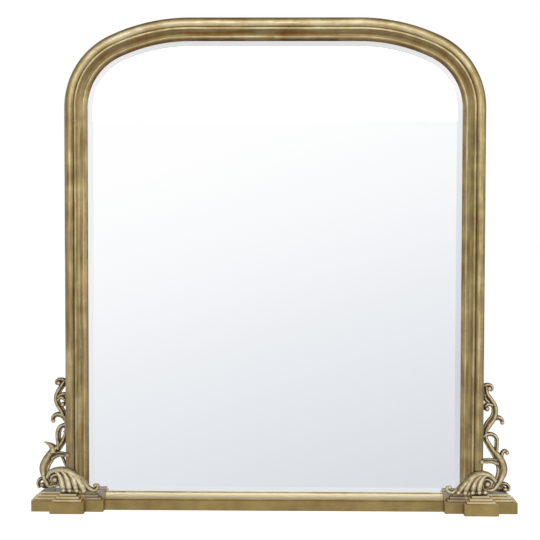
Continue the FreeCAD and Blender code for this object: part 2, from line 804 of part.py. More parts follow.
def make_hangers():
    """Straps, rings, their screws and the bumpers that keep the frame off the wall."""
    screws = []
    bumpers = []
    for side in (LEFT, RIGHT):
        make_strap(side)
        make_ring(side)
        for along in strap_screw_places:
            screws.append((hanger_x(side), back_y + strap_thickness, hanger_height - along))
        across = side * (half_width + plinth_overhang - bumper_inset)
        bumpers.append((across, back_y, bumper_height))
    make_screws("hanger_screws", strap_screw_length, screws)
    make_cylinders("wall_bumpers", bumper_diameter / 2, bumper_thickness, TO_WALL, bumpers)


def volute(centre, radii, start, sweep, widths, count=12):
    """Return (outward, height, width) points of a spiral that winds into a volute."""
    points = []
    for index in range(count + 1):
        share = index / count
        radius = radii[0] + (radii[1] - radii[0]) * share
        angle = math.radians(start + sweep * share)
        width = widths[0] + (widths[1] - widths[0]) * share
        outward = centre[0] + radius * math.cos(angle)
        height = centre[1] + radius * math.sin(angle)
        points.append((outward, height, width))
    return points


# Strokes of the castings: (outward from the stile's edge, height above the cap, width)
UPPER_STROKES = {
    LEFT: [
        [(5, 160, 10), (3, 178, 12), (4, 193, 11), (12, 211, 11), (22, 235, 11), (13, 261, 10),
         (5, 275, 11)] + volute((15.5, 278), (10, 4.5), 190, -330, (8, 4)),
        [(20, 229, 7), (14, 239, 8), (5, 240, 8), (2, 231, 7), (5, 223, 5)],
        [(4, 190, 10), (13, 197, 10), (25, 196, 9), (32, 187, 8), (30, 178, 7)],
    ],
    RIGHT: [
        [(3, 158, 11), (11, 173, 11), (25, 190, 12), (31, 210, 12), (23, 231, 12), (10, 248, 11),
         (5, 262, 11)] + volute((16, 267), (11, 4.5), 185, -330, (9, 4)),
        [(22, 231, 7), (12, 234, 9), (4, 227, 9), (4, 217, 7), (10, 212, 5)],
        [(22, 188, 9), (36, 193, 9), (47, 187, 8), (48, 177, 7)],
    ],
}
LOWER_STROKES = {
    LEFT: [
        [(4, 172, 10), (3, 150, 9), (4, 133, 8), (10, 118, 11), (28, 97, 17), (47, 77, 23), (58, 56, 20),
         (54, 33, 15)] + volute((29, 22), (20, 7), -25, -440, (11, 4.5)),
        [(5, 172, 11), (14, 163, 9), (20, 150, 8), (21, 135, 8), (18, 116, 9)],
        [(24, 104, 12), (40, 116, 9), (53, 124, 3)],
        [(40, 83, 10), (26, 92, 9), (13, 93, 9), (0, 90, 8)],
        [(44, 28, 7), (49, 15, 7)] + volute((61, 10), (7.5, 3.5), 225, 290, (6, 3.5)),
    ],
    RIGHT: [
        [(4, 172, 11), (5, 150, 11), (8, 132, 10), (21, 106, 13), (39, 80, 20), (51, 57, 20),
         (49, 34, 16)] + volute((23, 24), (21, 7), -20, -440, (12, 4.5)),
        [(4, 158, 9), (14, 155, 8), (26, 150, 8), (35, 135, 8), (34, 115, 8), (36, 100, 8)],
        [(43, 78, 10), (48, 92, 8), (51, 105, 7), (58, 108, 6), (62, 102, 5)],
        [(36, 70, 10), (26, 79, 9), (8, 82, 9), (0, 84, 8)],
        [(42, 28, 7), (48, 15, 7)] + volute((60, 10), (7.5, 3.5), 225, 290, (6, 3.5)),
    ],
}
# Branches lap round the stile's outer edge
BRANCHES = {
    LEFT: [
        [(12, 93, 9), (2, 91, 9), (-9, 89, 9), (-15, 94, 7)],
        [(8, 92, 8), (4, 76, 8), (-3, 60, 8)],
    ],
    RIGHT: [
        [(12, 81, 9), (2, 83, 9), (-8, 85, 9), (-14, 80, 7)],
    ],
}
# Round bosses in the volutes: (outward, height, radius)
UPPER_EYES = {
    LEFT: [(16, 277, 5), (5, 223, 5), (30, 178, 6)],
    RIGHT: [(15, 265, 5), (10, 214, 5), (48, 176, 6)],
}
LOWER_EYES = {
    LEFT: [(29, 22, 9.6)],
    RIGHT: [(23, 24, 7), (61, 102, 4)],
}
LEAF_LOBES = [
    [(9, 54, 9), (4, 36, 13), (0, 16, 16), (0, -4, 15)],
    [(4, 57, 9), (-5, 38, 14), (-12, 17, 17), (-14, -4, 16)],
    [(-5, 57, 9), (-16, 37, 14), (-25, 16, 17), (-28, -4, 16)],
    [(-16, 53, 9), (-29, 34, 14), (-39, 15, 16), (-43, -4, 15)],
    [(-29, 46, 9), (-43, 29, 13), (-54, 12, 14), (-59, -3, 12)],
]
LEAF_CREST = [
    (22, 47, 10), (13, 53, 14), (4, 58, 15), (-18, 52, 15), (-43, 37, 14), (-67, 18, 13), (-80, 9, 12),
    (-90, 9, 10), (-94, 17, 8), (-88, 22, 6),
]

# Places of the pins: heights on the stile, and distances outward on the cap
UPPER_PINS = {LEFT: (179, 275), RIGHT: (227, 262)}
LOWER_PINS = {LEFT: (150, 91), RIGHT: (156, 83)}
SCROLL_FOOT_PIN = {LEFT: 30, RIGHT: 22}
LEAF_PINS = (0, -28)

SECTION_SPACING = 6.0
CREST_SHARE = 0.38
STROKE_STEP = 1.5
BACK_STEP = 0.7
EYE_SETBACK = 0.3
CUTTER_ROOM = 2 * frame_width.value
pin_depth = scroll_back + scroll_thickness / 3
leaf_pin_depth = leaf_back + leaf_flare + leaf_thickness / 2
FORWARD = FreeCAD.Vector(0, -1, 0)
UPWARD = FreeCAD.Vector(0, 0, 1)


def stile_pin_heights(side):
    """Return heights above the cap of the pins between scrolls and stile."""
    return [as_size(height) for height in UPPER_PINS[side] + LOWER_PINS[side]]


def cap_pin_places(side):
    """Return (outward, depth) of the pins that stand in the cap."""
    scroll = (as_size(SCROLL_FOOT_PIN[side]), pin_depth)
    return [scroll] + [(as_size(outward), leaf_pin_depth) for outward in LEAF_PINS]


def stroke(points, thickness):
    """Loft a carved band: flat back, upright edges and a rounded crest.

    points hold (outward, height, depth of the back, width) along the middle of the band.
    """
    middle = Part.BSplineCurve()
    places = [FreeCAD.Vector(outward, -depth, height) for outward, height, depth, width in points]
    middle.interpolate(places)
    knots = [middle.parameter(spot) for spot in places]
    count = max(4, int(middle.length() / SECTION_SPACING))
    sections = []
    for index in range(count + 1):
        share = knots[0] + (knots[-1] - knots[0]) * index / count
        centre = middle.value(share)
        tangent = FreeCAD.Vector(*middle.tangent(share)[0]).normalize()
        across = tangent.cross(FORWARD).normalize()
        front = across.cross(tangent).normalize()
        reach = across * (width_at(points, knots, share) / 2)
        shoulder = front * (thickness - 2 * CREST_SHARE * reach.Length)
        outline = [centre - reach, centre - reach + shoulder, centre + reach + shoulder, centre + reach]
        edges = [
            Part.makeLine(outline[0], outline[1]),
            Part.Arc(outline[1], centre + front * thickness, outline[2]).toShape(),
            Part.makeLine(outline[2], outline[3]),
            Part.makeLine(outline[3], outline[0]),
        ]
        sections.append(Part.Wire(edges))
    return Part.makeLoft(sections, True, False)


def width_at(points, knots, share):
    """Return the width of a band between two of its points."""
    for index in range(len(knots) - 1):
        if share <= knots[index + 1]:
            break
    part = (share - knots[index]) / (knots[index + 1] - knots[index])
    return points[index][3] + (points[index + 1][3] - points[index][3]) * part


def flat_strokes(lines, thickness):
    """Loft strokes that lie in the plane of the scrolls, each set a little further in than the last."""
    strokes = []
    for order, line in enumerate(lines):
        back = scroll_back.value + BACK_STEP * order
        points = [(outward, height, back, width) for outward, height, width in line]
        strokes.append(stroke(points, thickness - (STROKE_STEP + BACK_STEP) * order))
    return strokes


def eye(outward, height, radius, thickness):
    """Domed boss in the middle of a volute."""
    base = FreeCAD.Vector(outward, -scroll_back.value - EYE_SETBACK, height)
    rim = base + FreeCAD.Vector(radius, 0, 0)
    top = thickness - EYE_SETBACK - radius / 2
    diagonal = radius * math.sqrt(0.5)
    edges = [
        Part.makeLine(base, rim),
        Part.makeLine(rim, rim + FORWARD * top),
        Part.Arc(rim + FORWARD * top, base + FORWARD * (top + diagonal) + FreeCAD.Vector(diagonal, 0, 0),
                 base + FORWARD * (top + radius)).toShape(),
        Part.makeLine(base + FORWARD * (top + radius), base),
    ]
    return Part.Face(Part.Wire(edges)).revolve(base, FORWARD, 360)


def half_space(floor, downward):
    """Return a large box above or below a height, for trimming."""
    bottom = floor - CUTTER_ROOM if downward else floor
    corner = FreeCAD.Vector(-CUTTER_ROOM / 2, -CUTTER_ROOM / 2, bottom)
    return Part.makeBox(CUTTER_ROOM, CUTTER_ROOM, CUTTER_ROOM, corner)


def pin_hole(start, direction):
    """Return a round cutter for one end of a pin."""
    length = pin_length.value / 2 + end_clearance.value
    return Part.makeCylinder(pin_hole_diameter.value / 2, length, start, direction)


def stile_pin_holes(side, heights):
    start = -pin_depth.value
    return [pin_hole(FreeCAD.Vector(0, start, height), FreeCAD.Vector(side, 0, 0)) for height in heights]


def cap_pin_hole(side, outward, depth):
    return pin_hole(FreeCAD.Vector(side * outward, -depth.value, 0), UPWARD)


def casting_anchor(side):
    """Return the point beside the stile's foot from which the strokes are measured."""
    return FreeCAD.Vector(side * half_width.value, back_y.value, cap_top.value)


def make_casting(label, side, strokes, eyes, cutters):
    """Fuse the strokes of one casting, trim it and set it beside the stile."""
    shape = strokes[0].multiFuse(strokes[1:])
    for boss in eyes:
        shape = shape.fuse(boss)
    if side == LEFT:
        shape = shape.mirror(FreeCAD.Vector(0, 0, 0), FreeCAD.Vector(1, 0, 0))
    for cutter in cutters:
        shape = shape.cut(cutter)
    largest = max(shape.Solids, key=lambda solid: solid.Volume)
    casting = doc.addObject("Part::Feature", label)
    casting.Label = label
    casting.Shape = largest
    casting.Placement = FreeCAD.Placement(casting_anchor(side), FreeCAD.Rotation())
    NODES.append(casting)
    return largest.copy()


def make_upper_scroll(side, upright):
    """S-shaped scroll with a volute at its head."""
    thickness = scroll_thickness.value
    eyes = [eye(*spot, thickness) for spot in UPPER_EYES[side]]
    cutters = [upright, half_space(scroll_parting.value, True)]
    cutters += stile_pin_holes(side, UPPER_PINS[side])
    strokes = flat_strokes(UPPER_STROKES[side], thickness)
    make_casting(f"upper_scroll_{SIDE_NAMES[side]}", side, strokes, eyes, cutters)


def make_lower_scroll(side, upright):
    """Broad scroll that winds into a volute on the plinth."""
    thickness = scroll_thickness.value
    strokes = flat_strokes(LOWER_STROKES[side], thickness)
    strokes += flat_strokes(BRANCHES[side], branch_thickness.value)
    eyes = [eye(*spot, thickness) for spot in LOWER_EYES[side]]
    cutters = [upright, half_space(0, True), half_space(scroll_parting.value, False)]
    cutters += stile_pin_holes(side, LOWER_PINS[side])
    cutters.append(cap_pin_hole(side, SCROLL_FOOT_PIN[side], pin_depth))
    return make_casting(f"lower_scroll_{SIDE_NAMES[side]}", side, strokes, eyes, cutters)


def make_leaf(side, upright, scroll):
    """Acanthus leaf: lobes that fan out below a crest with a curled tip."""
    strokes = []
    for line in LEAF_LOBES:
        last = len(line) - 1
        points = [(outward, height, leaf_back.value + leaf_flare.value * math.sqrt(index / last), width)
                  for index, (outward, height, width) in enumerate(line)]
        strokes.append(stroke(points, leaf_thickness.value))
    crest = [(outward, height, leaf_back.value, width) for outward, height, width in LEAF_CREST]
    strokes.append(stroke(crest, leaf_thickness.value + STROKE_STEP))
    cutters = [upright, half_space(0, True), scroll]
    cutters += [cap_pin_hole(side, outward, leaf_pin_depth) for outward in LEAF_PINS]
    make_casting(f"acanthus_leaf_{SIDE_NAMES[side]}", side, strokes, [], cutters)


def make_castings(side, stile):
    """Scrolls and leaf of one side."""
    upright = stile.Shape.copy()
    upright.translate(-casting_anchor(side))
    make_upper_scroll(side, upright)
    scroll = make_lower_scroll(side, upright)
    make_leaf(side, upright, scroll)


def make_casting_pins():
    """Steel pins between the castings and the wood."""
    half = pin_length / 2
    level = []
    upright = []
    for side in (LEFT, RIGHT):
        for height in stile_pin_heights(side):
            level.append((side * half_width - half, back_y - pin_depth, cap_top + height))
        for outward, depth in cap_pin_places(side):
            upright.append((side * (half_width + outward), back_y - depth, cap_top - half))
    make_cylinders("scroll_pins", pin_diameter / 2, pin_length, ALONG_X, level)
    make_cylinders("cap_pins", pin_diameter / 2, pin_length, UPRIGHT, upright)


def check_and_export():
    """Stop on any failed object, then write one file for each sub-part."""
    doc.recompute()
    for thing in doc.Objects:
        if "Invalid" in thing.State or "Error" in thing.State:
            raise RuntimeError(f"{thing.Label} of {[parent.Label for parent in thing.InList]} failed")
    for node in NODES:
        if node.Shape.isNull() or not node.Shape.isValid():
            raise RuntimeError(f"{node.Label} has no valid shape")
    for node in NODES:
        node.Shape.exportStep(f"parts/{node.Label}.step")
        box = node.Shape.BoundBox
        print(f"{node.Label}: {len(node.Shape.Solids)} solids, {node.Shape.Volume / 1000:.2f} cm3, "
              f"x {box.XMin:.1f} to {box.XMax:.1f}, y {box.YMin:.1f} to {box.YMax:.1f}, "
              f"z {box.ZMin:.1f} to {box.ZMax:.1f}")


def main():
    """Build the frame, the plinths, the glazing, the hangers and the castings."""
    stiles = {}
    for side in (LEFT, RIGHT):
        stiles[side] = make_stile(side)
        make_corner(side)
        make_slab(side)
        for level, label in enumerate(STEP_BOARDS, 1):
            make_step(side, label, level)
    make_top_rail()
    make_base_rail()
    make_frame_dowels()
    make_mirror_plate()
    plate_inset = glass_inset + edge_clearance
    make_sheet("backing_felt", plate_inset, slab_height + block_thickness, ledge_depth, felt_thickness)
    make_backboard()
    make_screws("backboard_screws", board_screw_length, board_screw_places())
    make_setting_blocks()
    make_hangers()
    for side in (LEFT, RIGHT):
        make_castings(side, stiles[side])
    make_casting_pins()
    check_and_export()


main()
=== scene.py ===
"""Looks of an arched overmantel mirror: aged gilding, silvered glass, carved scrolls and a plain studio."""

from __future__ import annotations

import logging
import math
from dataclasses import dataclass
from enum import Enum

import bpy
from mathutils import Matrix, Vector

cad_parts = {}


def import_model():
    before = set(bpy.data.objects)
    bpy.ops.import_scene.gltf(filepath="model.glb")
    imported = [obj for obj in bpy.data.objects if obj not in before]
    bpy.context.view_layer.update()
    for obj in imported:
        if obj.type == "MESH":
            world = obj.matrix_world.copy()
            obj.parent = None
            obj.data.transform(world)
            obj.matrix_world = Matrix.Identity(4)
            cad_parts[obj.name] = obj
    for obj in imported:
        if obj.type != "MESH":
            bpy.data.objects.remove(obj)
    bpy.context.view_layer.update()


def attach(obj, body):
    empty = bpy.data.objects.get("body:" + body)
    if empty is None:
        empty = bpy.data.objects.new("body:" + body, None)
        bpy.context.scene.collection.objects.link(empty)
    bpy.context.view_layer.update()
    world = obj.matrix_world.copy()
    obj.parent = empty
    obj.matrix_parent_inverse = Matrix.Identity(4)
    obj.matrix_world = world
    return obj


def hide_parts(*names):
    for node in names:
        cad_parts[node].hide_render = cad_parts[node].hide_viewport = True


LOG = logging.getLogger("mirror")
MM = 0.001
FRAME_BODY = "frame"
VOLUTE_STEPS = 12

Tree = bpy.types.NodeTree
Node = bpy.types.Node
Socket = bpy.types.NodeSocket
Shares = tuple[tuple[float, float], ...]


class Side(Enum):
    """Left and right as seen from the front."""

    LEFT = -1
    RIGHT = 1

    @property
    def word(self) -> str:
        """Return the ending of the names on this side."""
        return self.name.lower()


class Relief(Enum):
    """Cross sections of a carved band, as (across, forward) shares of its width."""

    FLUTED = (
        (-0.50, -0.40), (-0.50, 0.02), (-0.46, 0.20), (-0.38, 0.36), (-0.27, 0.46), (-0.14, 0.50),
        (0.00, 0.46), (0.11, 0.36), (0.20, 0.24), (0.29, 0.17), (0.38, 0.19), (0.45, 0.17),
        (0.50, 0.06), (0.50, -0.40), (0.30, -0.50), (-0.30, -0.50),
    )
    RIDGED = (
        (-0.50, -0.40), (-0.50, -0.02), (-0.43, 0.20), (-0.32, 0.34), (-0.18, 0.43), (-0.06, 0.48),
        (0.06, 0.48), (0.18, 0.43), (0.32, 0.34), (0.43, 0.20), (0.50, -0.02), (0.50, -0.40),
        (0.30, -0.50), (-0.30, -0.50),
    )


def linear(code: str) -> tuple[float, float, float, float]:
    """Turn an sRGB hex colour into linear light.

    Args:
        code: colour as six hex digits after a hash.

    Returns:
        Red, green, blue and full alpha.
    """
    parts = [int(code[place:place + 2], 16) / 255 for place in (1, 3, 5)]
    light = [part / 12.92 if part <= 0.04045 else ((part + 0.055) / 1.055) ** 2.4 for part in parts]
    return light[0], light[1], light[2], 1.0


def add_node(tree: Tree, kind: str, settings: dict | None = None, links: dict | None = None) -> Node:
    """Add a node with its settings and links.

    Args:
        tree: node tree that gets the node.
        kind: type name of the node.
        settings: values by input name or number, by property, or stops of a colour ramp.
        links: sockets that feed its inputs, by input name or number.

    Returns:
        The new node.
    """
    node = tree.nodes.new(kind)
    for key, value in (settings or {}).items():
        if key == "stops":
            elements = node.color_ramp.elements
            while len(elements) < len(value):
                elements.new(0.5)
            for element, (place, shade) in zip(elements, value):
                element.position = place
                element.color = linear(shade) if isinstance(shade, str) else (shade, shade, shade, 1.0)
        elif isinstance(key, int) or key in node.inputs:
            node.inputs[key].default_value = value
        else:
            setattr(node, key, value)
    for key, socket in (links or {}).items():
        tree.links.new(socket, node.inputs[key])
    return node


@dataclass(frozen=True)
class Finish:
    """A surface that can dress any piece."""

    name: str

    def material(self) -> bpy.types.Material:
        """Make the material, once.

        Returns:
            The material of this name.
        """
        found = bpy.data.materials.get(self.name)
        if found:
            return found
        material = bpy.data.materials.new(self.name)
        material.use_nodes = True
        tree = material.node_tree
        tree.nodes.clear()
        shader = add_node(tree, "ShaderNodeBsdfPrincipled")
        add_node(tree, "ShaderNodeOutputMaterial", links={"Surface": shader.outputs[0]})
        place = add_node(tree, "ShaderNodeTexCoord").outputs["Object"]
        self.paint(tree, shader, place)
        return material

    def paint(self, tree: Tree, shader: Node, place: Socket) -> None:
        """Add this finish's nodes.

        Args:
            tree: node tree of the material.
            shader: its surface shader.
            place: position on the piece, in metres.
        """

    def dress(self, *names: str) -> None:
        """Give this finish to CAD nodes.

        Args:
            names: the nodes' names.
        """
        for name in names:
            mesh = bpy.data.objects[name].data
            mesh.materials.clear()
            mesh.materials.append(self.material())
            LOG.info("%s: %s", name, self.name)


@dataclass(frozen=True)
class Gilding(Finish):
    """Gold leaf on gesso, toned with umber glaze and rubbed back.

    The leaf gives a soft metal gloss, the glaze and painted shade stay dark in the hollows, and rubbing shows
    pale gold on the crests. Backs are bare pine.
    """

    pale: str = "#E8DAB2"
    gold: str = "#C0A86F"
    olive: str = "#9B8961"
    bronze: str = "#8D6528"
    umber: str = "#5E3E12"
    pine: str = "#B99668"
    pine_grain: str = "#8B6840"
    streak_width_mm: float = 6.0
    streak_length_mm: float = 110.0
    cloud_mm: float = 60.0
    grain_mm: float = 1.2
    unevenness: float = 0.34
    # Ambient occlusion within this reach paints shade into the hollows, along with the glaze
    hollow_mm: float = 9.0
    resting_tone: float = 0.34
    back_plane_mm: float = 45.7
    tone_stops: tuple[float, ...] = (0.0, 0.3, 0.52, 0.76, 1.0)
    pine_stops: tuple[float, float] = (0.34, 0.62)
    hollow_rays: int = 6
    openness: tuple[float, float] = (1.0, 0.4)
    full_glaze_and_shade: float = 0.95
    wander: tuple[float, float] = (0.6, 1.4)
    gloss: tuple[float, float] = (0.34, 0.52)
    grain_gloss: float = 0.1
    metal: tuple[float, float] = (0.6, 0.5)
    grain_height: float = 0.3
    relief_strength: float = 0.15
    relief_mm: float = 0.4

    def grain_lines(self, tree: Tree, place: Socket) -> Socket:
        """Return the position in which the glaze's streaks are drawn."""
        return place

    def tone(self, tree: Tree, place: Socket) -> Socket:
        """Let the glaze gather in hollows, with painted shade from ambient occlusion.

        Args:
            tree: node tree of the material.
            place: position on the piece, in metres; not used here.

        Returns:
            The tone from 0, rubbed pale, to 1, full glaze with painted shade.
        """
        hollow = add_node(tree, "ShaderNodeAmbientOcclusion",
                          {"samples": self.hollow_rays, "Distance": self.hollow_mm * MM})
        return add_node(tree, "ShaderNodeMapRange",
                        {"From Min": self.openness[0], "From Max": self.openness[1],
                         "To Min": self.resting_tone, "To Max": self.full_glaze_and_shade},
                        {"Value": hollow.outputs["AO"]}).outputs[0]

    def paint(self, tree: Tree, shader: Node, place: Socket) -> None:
        """Add leaf, glaze with painted shade, rubbing with painted highlight, and the bare back.

        Args:
            tree: node tree of the material.
            shader: its surface shader.
            place: position on the piece, in metres.
        """
        lines = self.grain_lines(tree, place)
        streaks, clouds, grain = (
            add_node(tree, "ShaderNodeTexNoise",
                     {"Scale": 1 / (size * MM), "Detail": detail, "Roughness": roughness},
                     {"Vector": where}).outputs["Fac"]
            for size, detail, roughness, where in ((self.streak_width_mm, 4.0, 0.55, lines),
                                                   (self.cloud_mm, 5.0, 0.6, place),
                                                   (self.grain_mm, 2.0, 0.6, place)))
        mixed = add_node(tree, "ShaderNodeMath", {"operation": "ADD"}, {0: clouds, 1: streaks})
        wander = add_node(tree, "ShaderNodeMapRange",
                          {"From Min": self.wander[0], "From Max": self.wander[1],
                           "To Min": -self.unevenness, "To Max": self.unevenness},
                          {"Value": mixed.outputs[0]})
        toned = add_node(tree, "ShaderNodeMath", {"operation": "ADD", "use_clamp": True},
                         {0: self.tone(tree, place), 1: wander.outputs[0]}).outputs[0]
        shades = (self.pale, self.gold, self.olive, self.bronze, self.umber)
        gilt = add_node(tree, "ShaderNodeValToRGB", {"stops": tuple(zip(self.tone_stops, shades))},
                        {"Fac": toned})
        depth = add_node(tree, "ShaderNodeSeparateXYZ", links={0: place})
        back = add_node(tree, "ShaderNodeMath", {"operation": "GREATER_THAN", 1: self.back_plane_mm * MM},
                        {0: depth.outputs["Y"]}).outputs[0]
        wood = add_node(tree, "ShaderNodeValToRGB",
                        {"stops": tuple(zip(self.pine_stops, (self.pine_grain, self.pine)))},
                        {"Fac": streaks})
        skin = add_node(tree, "ShaderNodeMix", {"data_type": "RGBA"},
                        {0: back, 6: gilt.outputs["Color"], 7: wood.outputs["Color"]})
        tree.links.new(skin.outputs[2], shader.inputs["Base Color"])
        gloss = add_node(tree, "ShaderNodeMapRange", {"To Min": self.gloss[0], "To Max": self.gloss[1]},
                         {"Value": toned})
        worn = add_node(tree, "ShaderNodeMath", {"operation": "MULTIPLY_ADD", 1: self.grain_gloss},
                        {0: grain, 2: gloss.outputs[0]})
        tree.links.new(worn.outputs[0], shader.inputs["Roughness"])
        metal = add_node(tree, "ShaderNodeMapRange", {"To Min": self.metal[0], "To Max": self.metal[1]},
                         {"Value": toned})
        bare = add_node(tree, "ShaderNodeMath", {"operation": "SUBTRACT", "use_clamp": True},
                        {0: metal.outputs[0], 1: back})
        tree.links.new(bare.outputs[0], shader.inputs["Metallic"])
        height = add_node(tree, "ShaderNodeMath", {"operation": "MULTIPLY_ADD", 1: self.grain_height},
                          {0: grain, 2: streaks})
        bump = add_node(tree, "ShaderNodeBump",
                        {"Strength": self.relief_strength, "Distance": self.relief_mm * MM},
                        {"Height": height.outputs[0]})
        tree.links.new(bump.outputs[0], shader.inputs["Normal"])


@dataclass(frozen=True)
class MouldingGilding(Gilding):
    """Gilding on the arched moulding; streaks, glaze and painted highlight and shade follow it round the
    arch.
    """

    half_width_mm: float = 533.5
    spring_mm: float = 1023.5
    small_radius_mm: float = 200.0
    large_radius_mm: float = 483.0
    turn_degrees: float = 65.0
    crown_mm: float = 1250.0
    member_mm: float = 56.0
    arch_start_radians: tuple[float, float] = (0.1, 0.65)
    # Tone by inset: glaze in grooves and coves, with painted highlights and painted shade along the profile
    stile_glaze_and_painted_light: Shares = (
        (0.0, 0.60), (2.0, 0.40), (6.0, 0.38), (12.0, 0.42), (17.0, 0.30), (20.0, 0.42), (23.5, 0.58),
        (26.0, 0.48), (28.5, 0.28), (31.5, 0.34), (35.0, 0.34), (38.0, 0.36), (42.0, 0.62), (45.0, 0.46),
        (47.5, 0.20), (50.5, 0.38), (53.0, 0.42), (56.0, 0.50),
    )
    # On the arch the torus is painted pale as highlight and the overhung cove painted dark as shade
    arch_glaze_and_painted_light: Shares = (
        (0.0, 0.72), (5.0, 0.60), (9.0, 0.30), (12.0, 0.14), (15.0, 0.08), (19.0, 0.09), (22.0, 0.22),
        (24.0, 0.32), (26.0, 0.26), (28.5, 0.10), (31.0, 0.28), (34.0, 0.50), (38.0, 0.70), (42.0, 0.68),
        (45.0, 0.50), (47.5, 0.30), (49.5, 0.16), (51.5, 0.40), (54.0, 0.78), (56.0, 0.88),
    )

    def moulding(self, tree: Tree, place: Socket) -> tuple[Socket, Socket, Socket]:
        """Measure the moulding from any point on it.

        Args:
            tree: node tree of the material.
            place: position on the piece, in metres.

        Returns:
            Distance in from the outer edge, distance along the moulding, and 0 on a stile to 1 on the arch.
        """
        angle = math.radians(self.turn_degrees)
        small = self.small_radius_mm * MM
        large = self.large_radius_mm * MM
        small_x = self.half_width_mm * MM - small
        small_z = self.spring_mm * MM
        large_x = small_x - (large - small) * math.cos(angle)
        large_z = self.crown_mm * MM - large
        mirrored = add_node(tree, "ShaderNodeVectorMath", {"operation": "ABSOLUTE"}, {0: place})
        parts = add_node(tree, "ShaderNodeSeparateXYZ", links={0: mirrored.outputs[0]})
        from_small_x, from_small_z, from_large_x, from_large_z = (
            add_node(tree, "ShaderNodeMath", {"operation": "SUBTRACT", 1: centre},
                     {0: parts.outputs[axis]}).outputs[0]
            for centre, axis in ((small_x, "X"), (small_z, "Z"), (large_x, "X"), (large_z, "Z")))
        above, beyond = (
            add_node(tree, "ShaderNodeMath", {"operation": "MAXIMUM", 1: 0.0}, {0: offset}).outputs[0]
            for offset in (from_small_z, from_large_x))
        insets = []
        for radius, aside, up in ((small, from_small_x, above), (large, beyond, from_large_z)):
            arm = add_node(tree, "ShaderNodeCombineXYZ", links={0: aside, 1: up})
            reach = add_node(tree, "ShaderNodeVectorMath", {"operation": "LENGTH"}, {0: arm.outputs[0]})
            insets.append(add_node(tree, "ShaderNodeMath", {"operation": "SUBTRACT", 0: radius},
                                   {1: reach.outputs["Value"]}).outputs[0])
        offset = add_node(tree, "ShaderNodeCombineXYZ", links={0: from_small_x, 1: from_small_z})
        across = add_node(tree, "ShaderNodeVectorMath",
                          {"operation": "DOT_PRODUCT", 1: (-math.sin(angle), math.cos(angle), 0)},
                          {0: offset.outputs[0]})
        crown = add_node(tree, "ShaderNodeMath", {"operation": "GREATER_THAN", 1: 0.0},
                         {0: across.outputs["Value"]}).outputs[0]
        inset = add_node(tree, "ShaderNodeMix", links={0: crown, 2: insets[0], 3: insets[1]})
        small_turn, large_turn = (
            add_node(tree, "ShaderNodeMath", {"operation": "ARCTAN2"}, {0: up, 1: aside}).outputs[0]
            for up, aside in ((above, from_small_x), (from_large_z, beyond)))
        upright = add_node(tree, "ShaderNodeMath", {"operation": "MINIMUM", 1: small_z},
                           {0: parts.outputs["Z"]})
        small_run = add_node(tree, "ShaderNodeMath", {"operation": "MULTIPLY_ADD", 1: small},
                             {0: small_turn, 2: upright.outputs[0]})
        level = add_node(tree, "ShaderNodeMath", {"operation": "MINIMUM", 1: large_x},
                         {0: parts.outputs["X"]})
        rest = add_node(tree, "ShaderNodeMath",
                        {"operation": "SUBTRACT", 0: small_z + angle * (small - large) + large_x},
                        {1: level.outputs[0]})
        large_run = add_node(tree, "ShaderNodeMath", {"operation": "MULTIPLY_ADD", 1: large},
                             {0: large_turn, 2: rest.outputs[0]})
        run = add_node(tree, "ShaderNodeMix",
                       links={0: crown, 2: small_run.outputs[0], 3: large_run.outputs[0]})
        turned = add_node(tree, "ShaderNodeMapRange",
                          {"From Min": self.arch_start_radians[0], "From Max": self.arch_start_radians[1]},
                          {"Value": small_turn})
        return inset.outputs[0], run.outputs[0], turned.outputs[0]

    def grain_lines(self, tree: Tree, place: Socket) -> Socket:
        """Stretch the glaze's streaks along the moulding.

        Args:
            tree: node tree of the material.
            place: position on the piece, in metres.

        Returns:
            The position in which the streaks are drawn.
        """
        inset, run, _ = self.moulding(tree, place)
        slow = add_node(tree, "ShaderNodeMath",
                        {"operation": "MULTIPLY", 1: self.streak_width_mm / self.streak_length_mm}, {0: run})
        parts = add_node(tree, "ShaderNodeSeparateXYZ", links={0: place})
        hand = add_node(tree, "ShaderNodeMath", {"operation": "SIGN"}, {0: parts.outputs["X"]})
        return add_node(tree, "ShaderNodeCombineXYZ",
                        links={0: inset, 1: slow.outputs[0], 2: hand.outputs[0]}).outputs[0]

    def tone(self, tree: Tree, place: Socket) -> Socket:
        """Run the tone, with glaze, painted highlights and painted shade, along the moulding's beads, grooves
        and coves.

        Args:
            tree: node tree of the material.
            place: position on the piece, in metres.

        Returns:
            The tone, which changes where a stile turns into the arch, with a paler painted highlight and
            darker painted shade there.
        """
        inset, _, turned = self.moulding(tree, place)
        share = add_node(tree, "ShaderNodeMath", {"operation": "DIVIDE", 1: self.member_mm * MM}, {0: inset})
        upright, arched = (
            add_node(tree, "ShaderNodeValToRGB",
                     {"stops": tuple((distance / self.member_mm, amount) for distance, amount in bands)},
                     {"Fac": share.outputs[0]}).outputs["Color"]
            for bands in (self.stile_glaze_and_painted_light, self.arch_glaze_and_painted_light))
        return add_node(tree, "ShaderNodeMix", links={0: turned, 2: upright, 3: arched}).outputs[0]


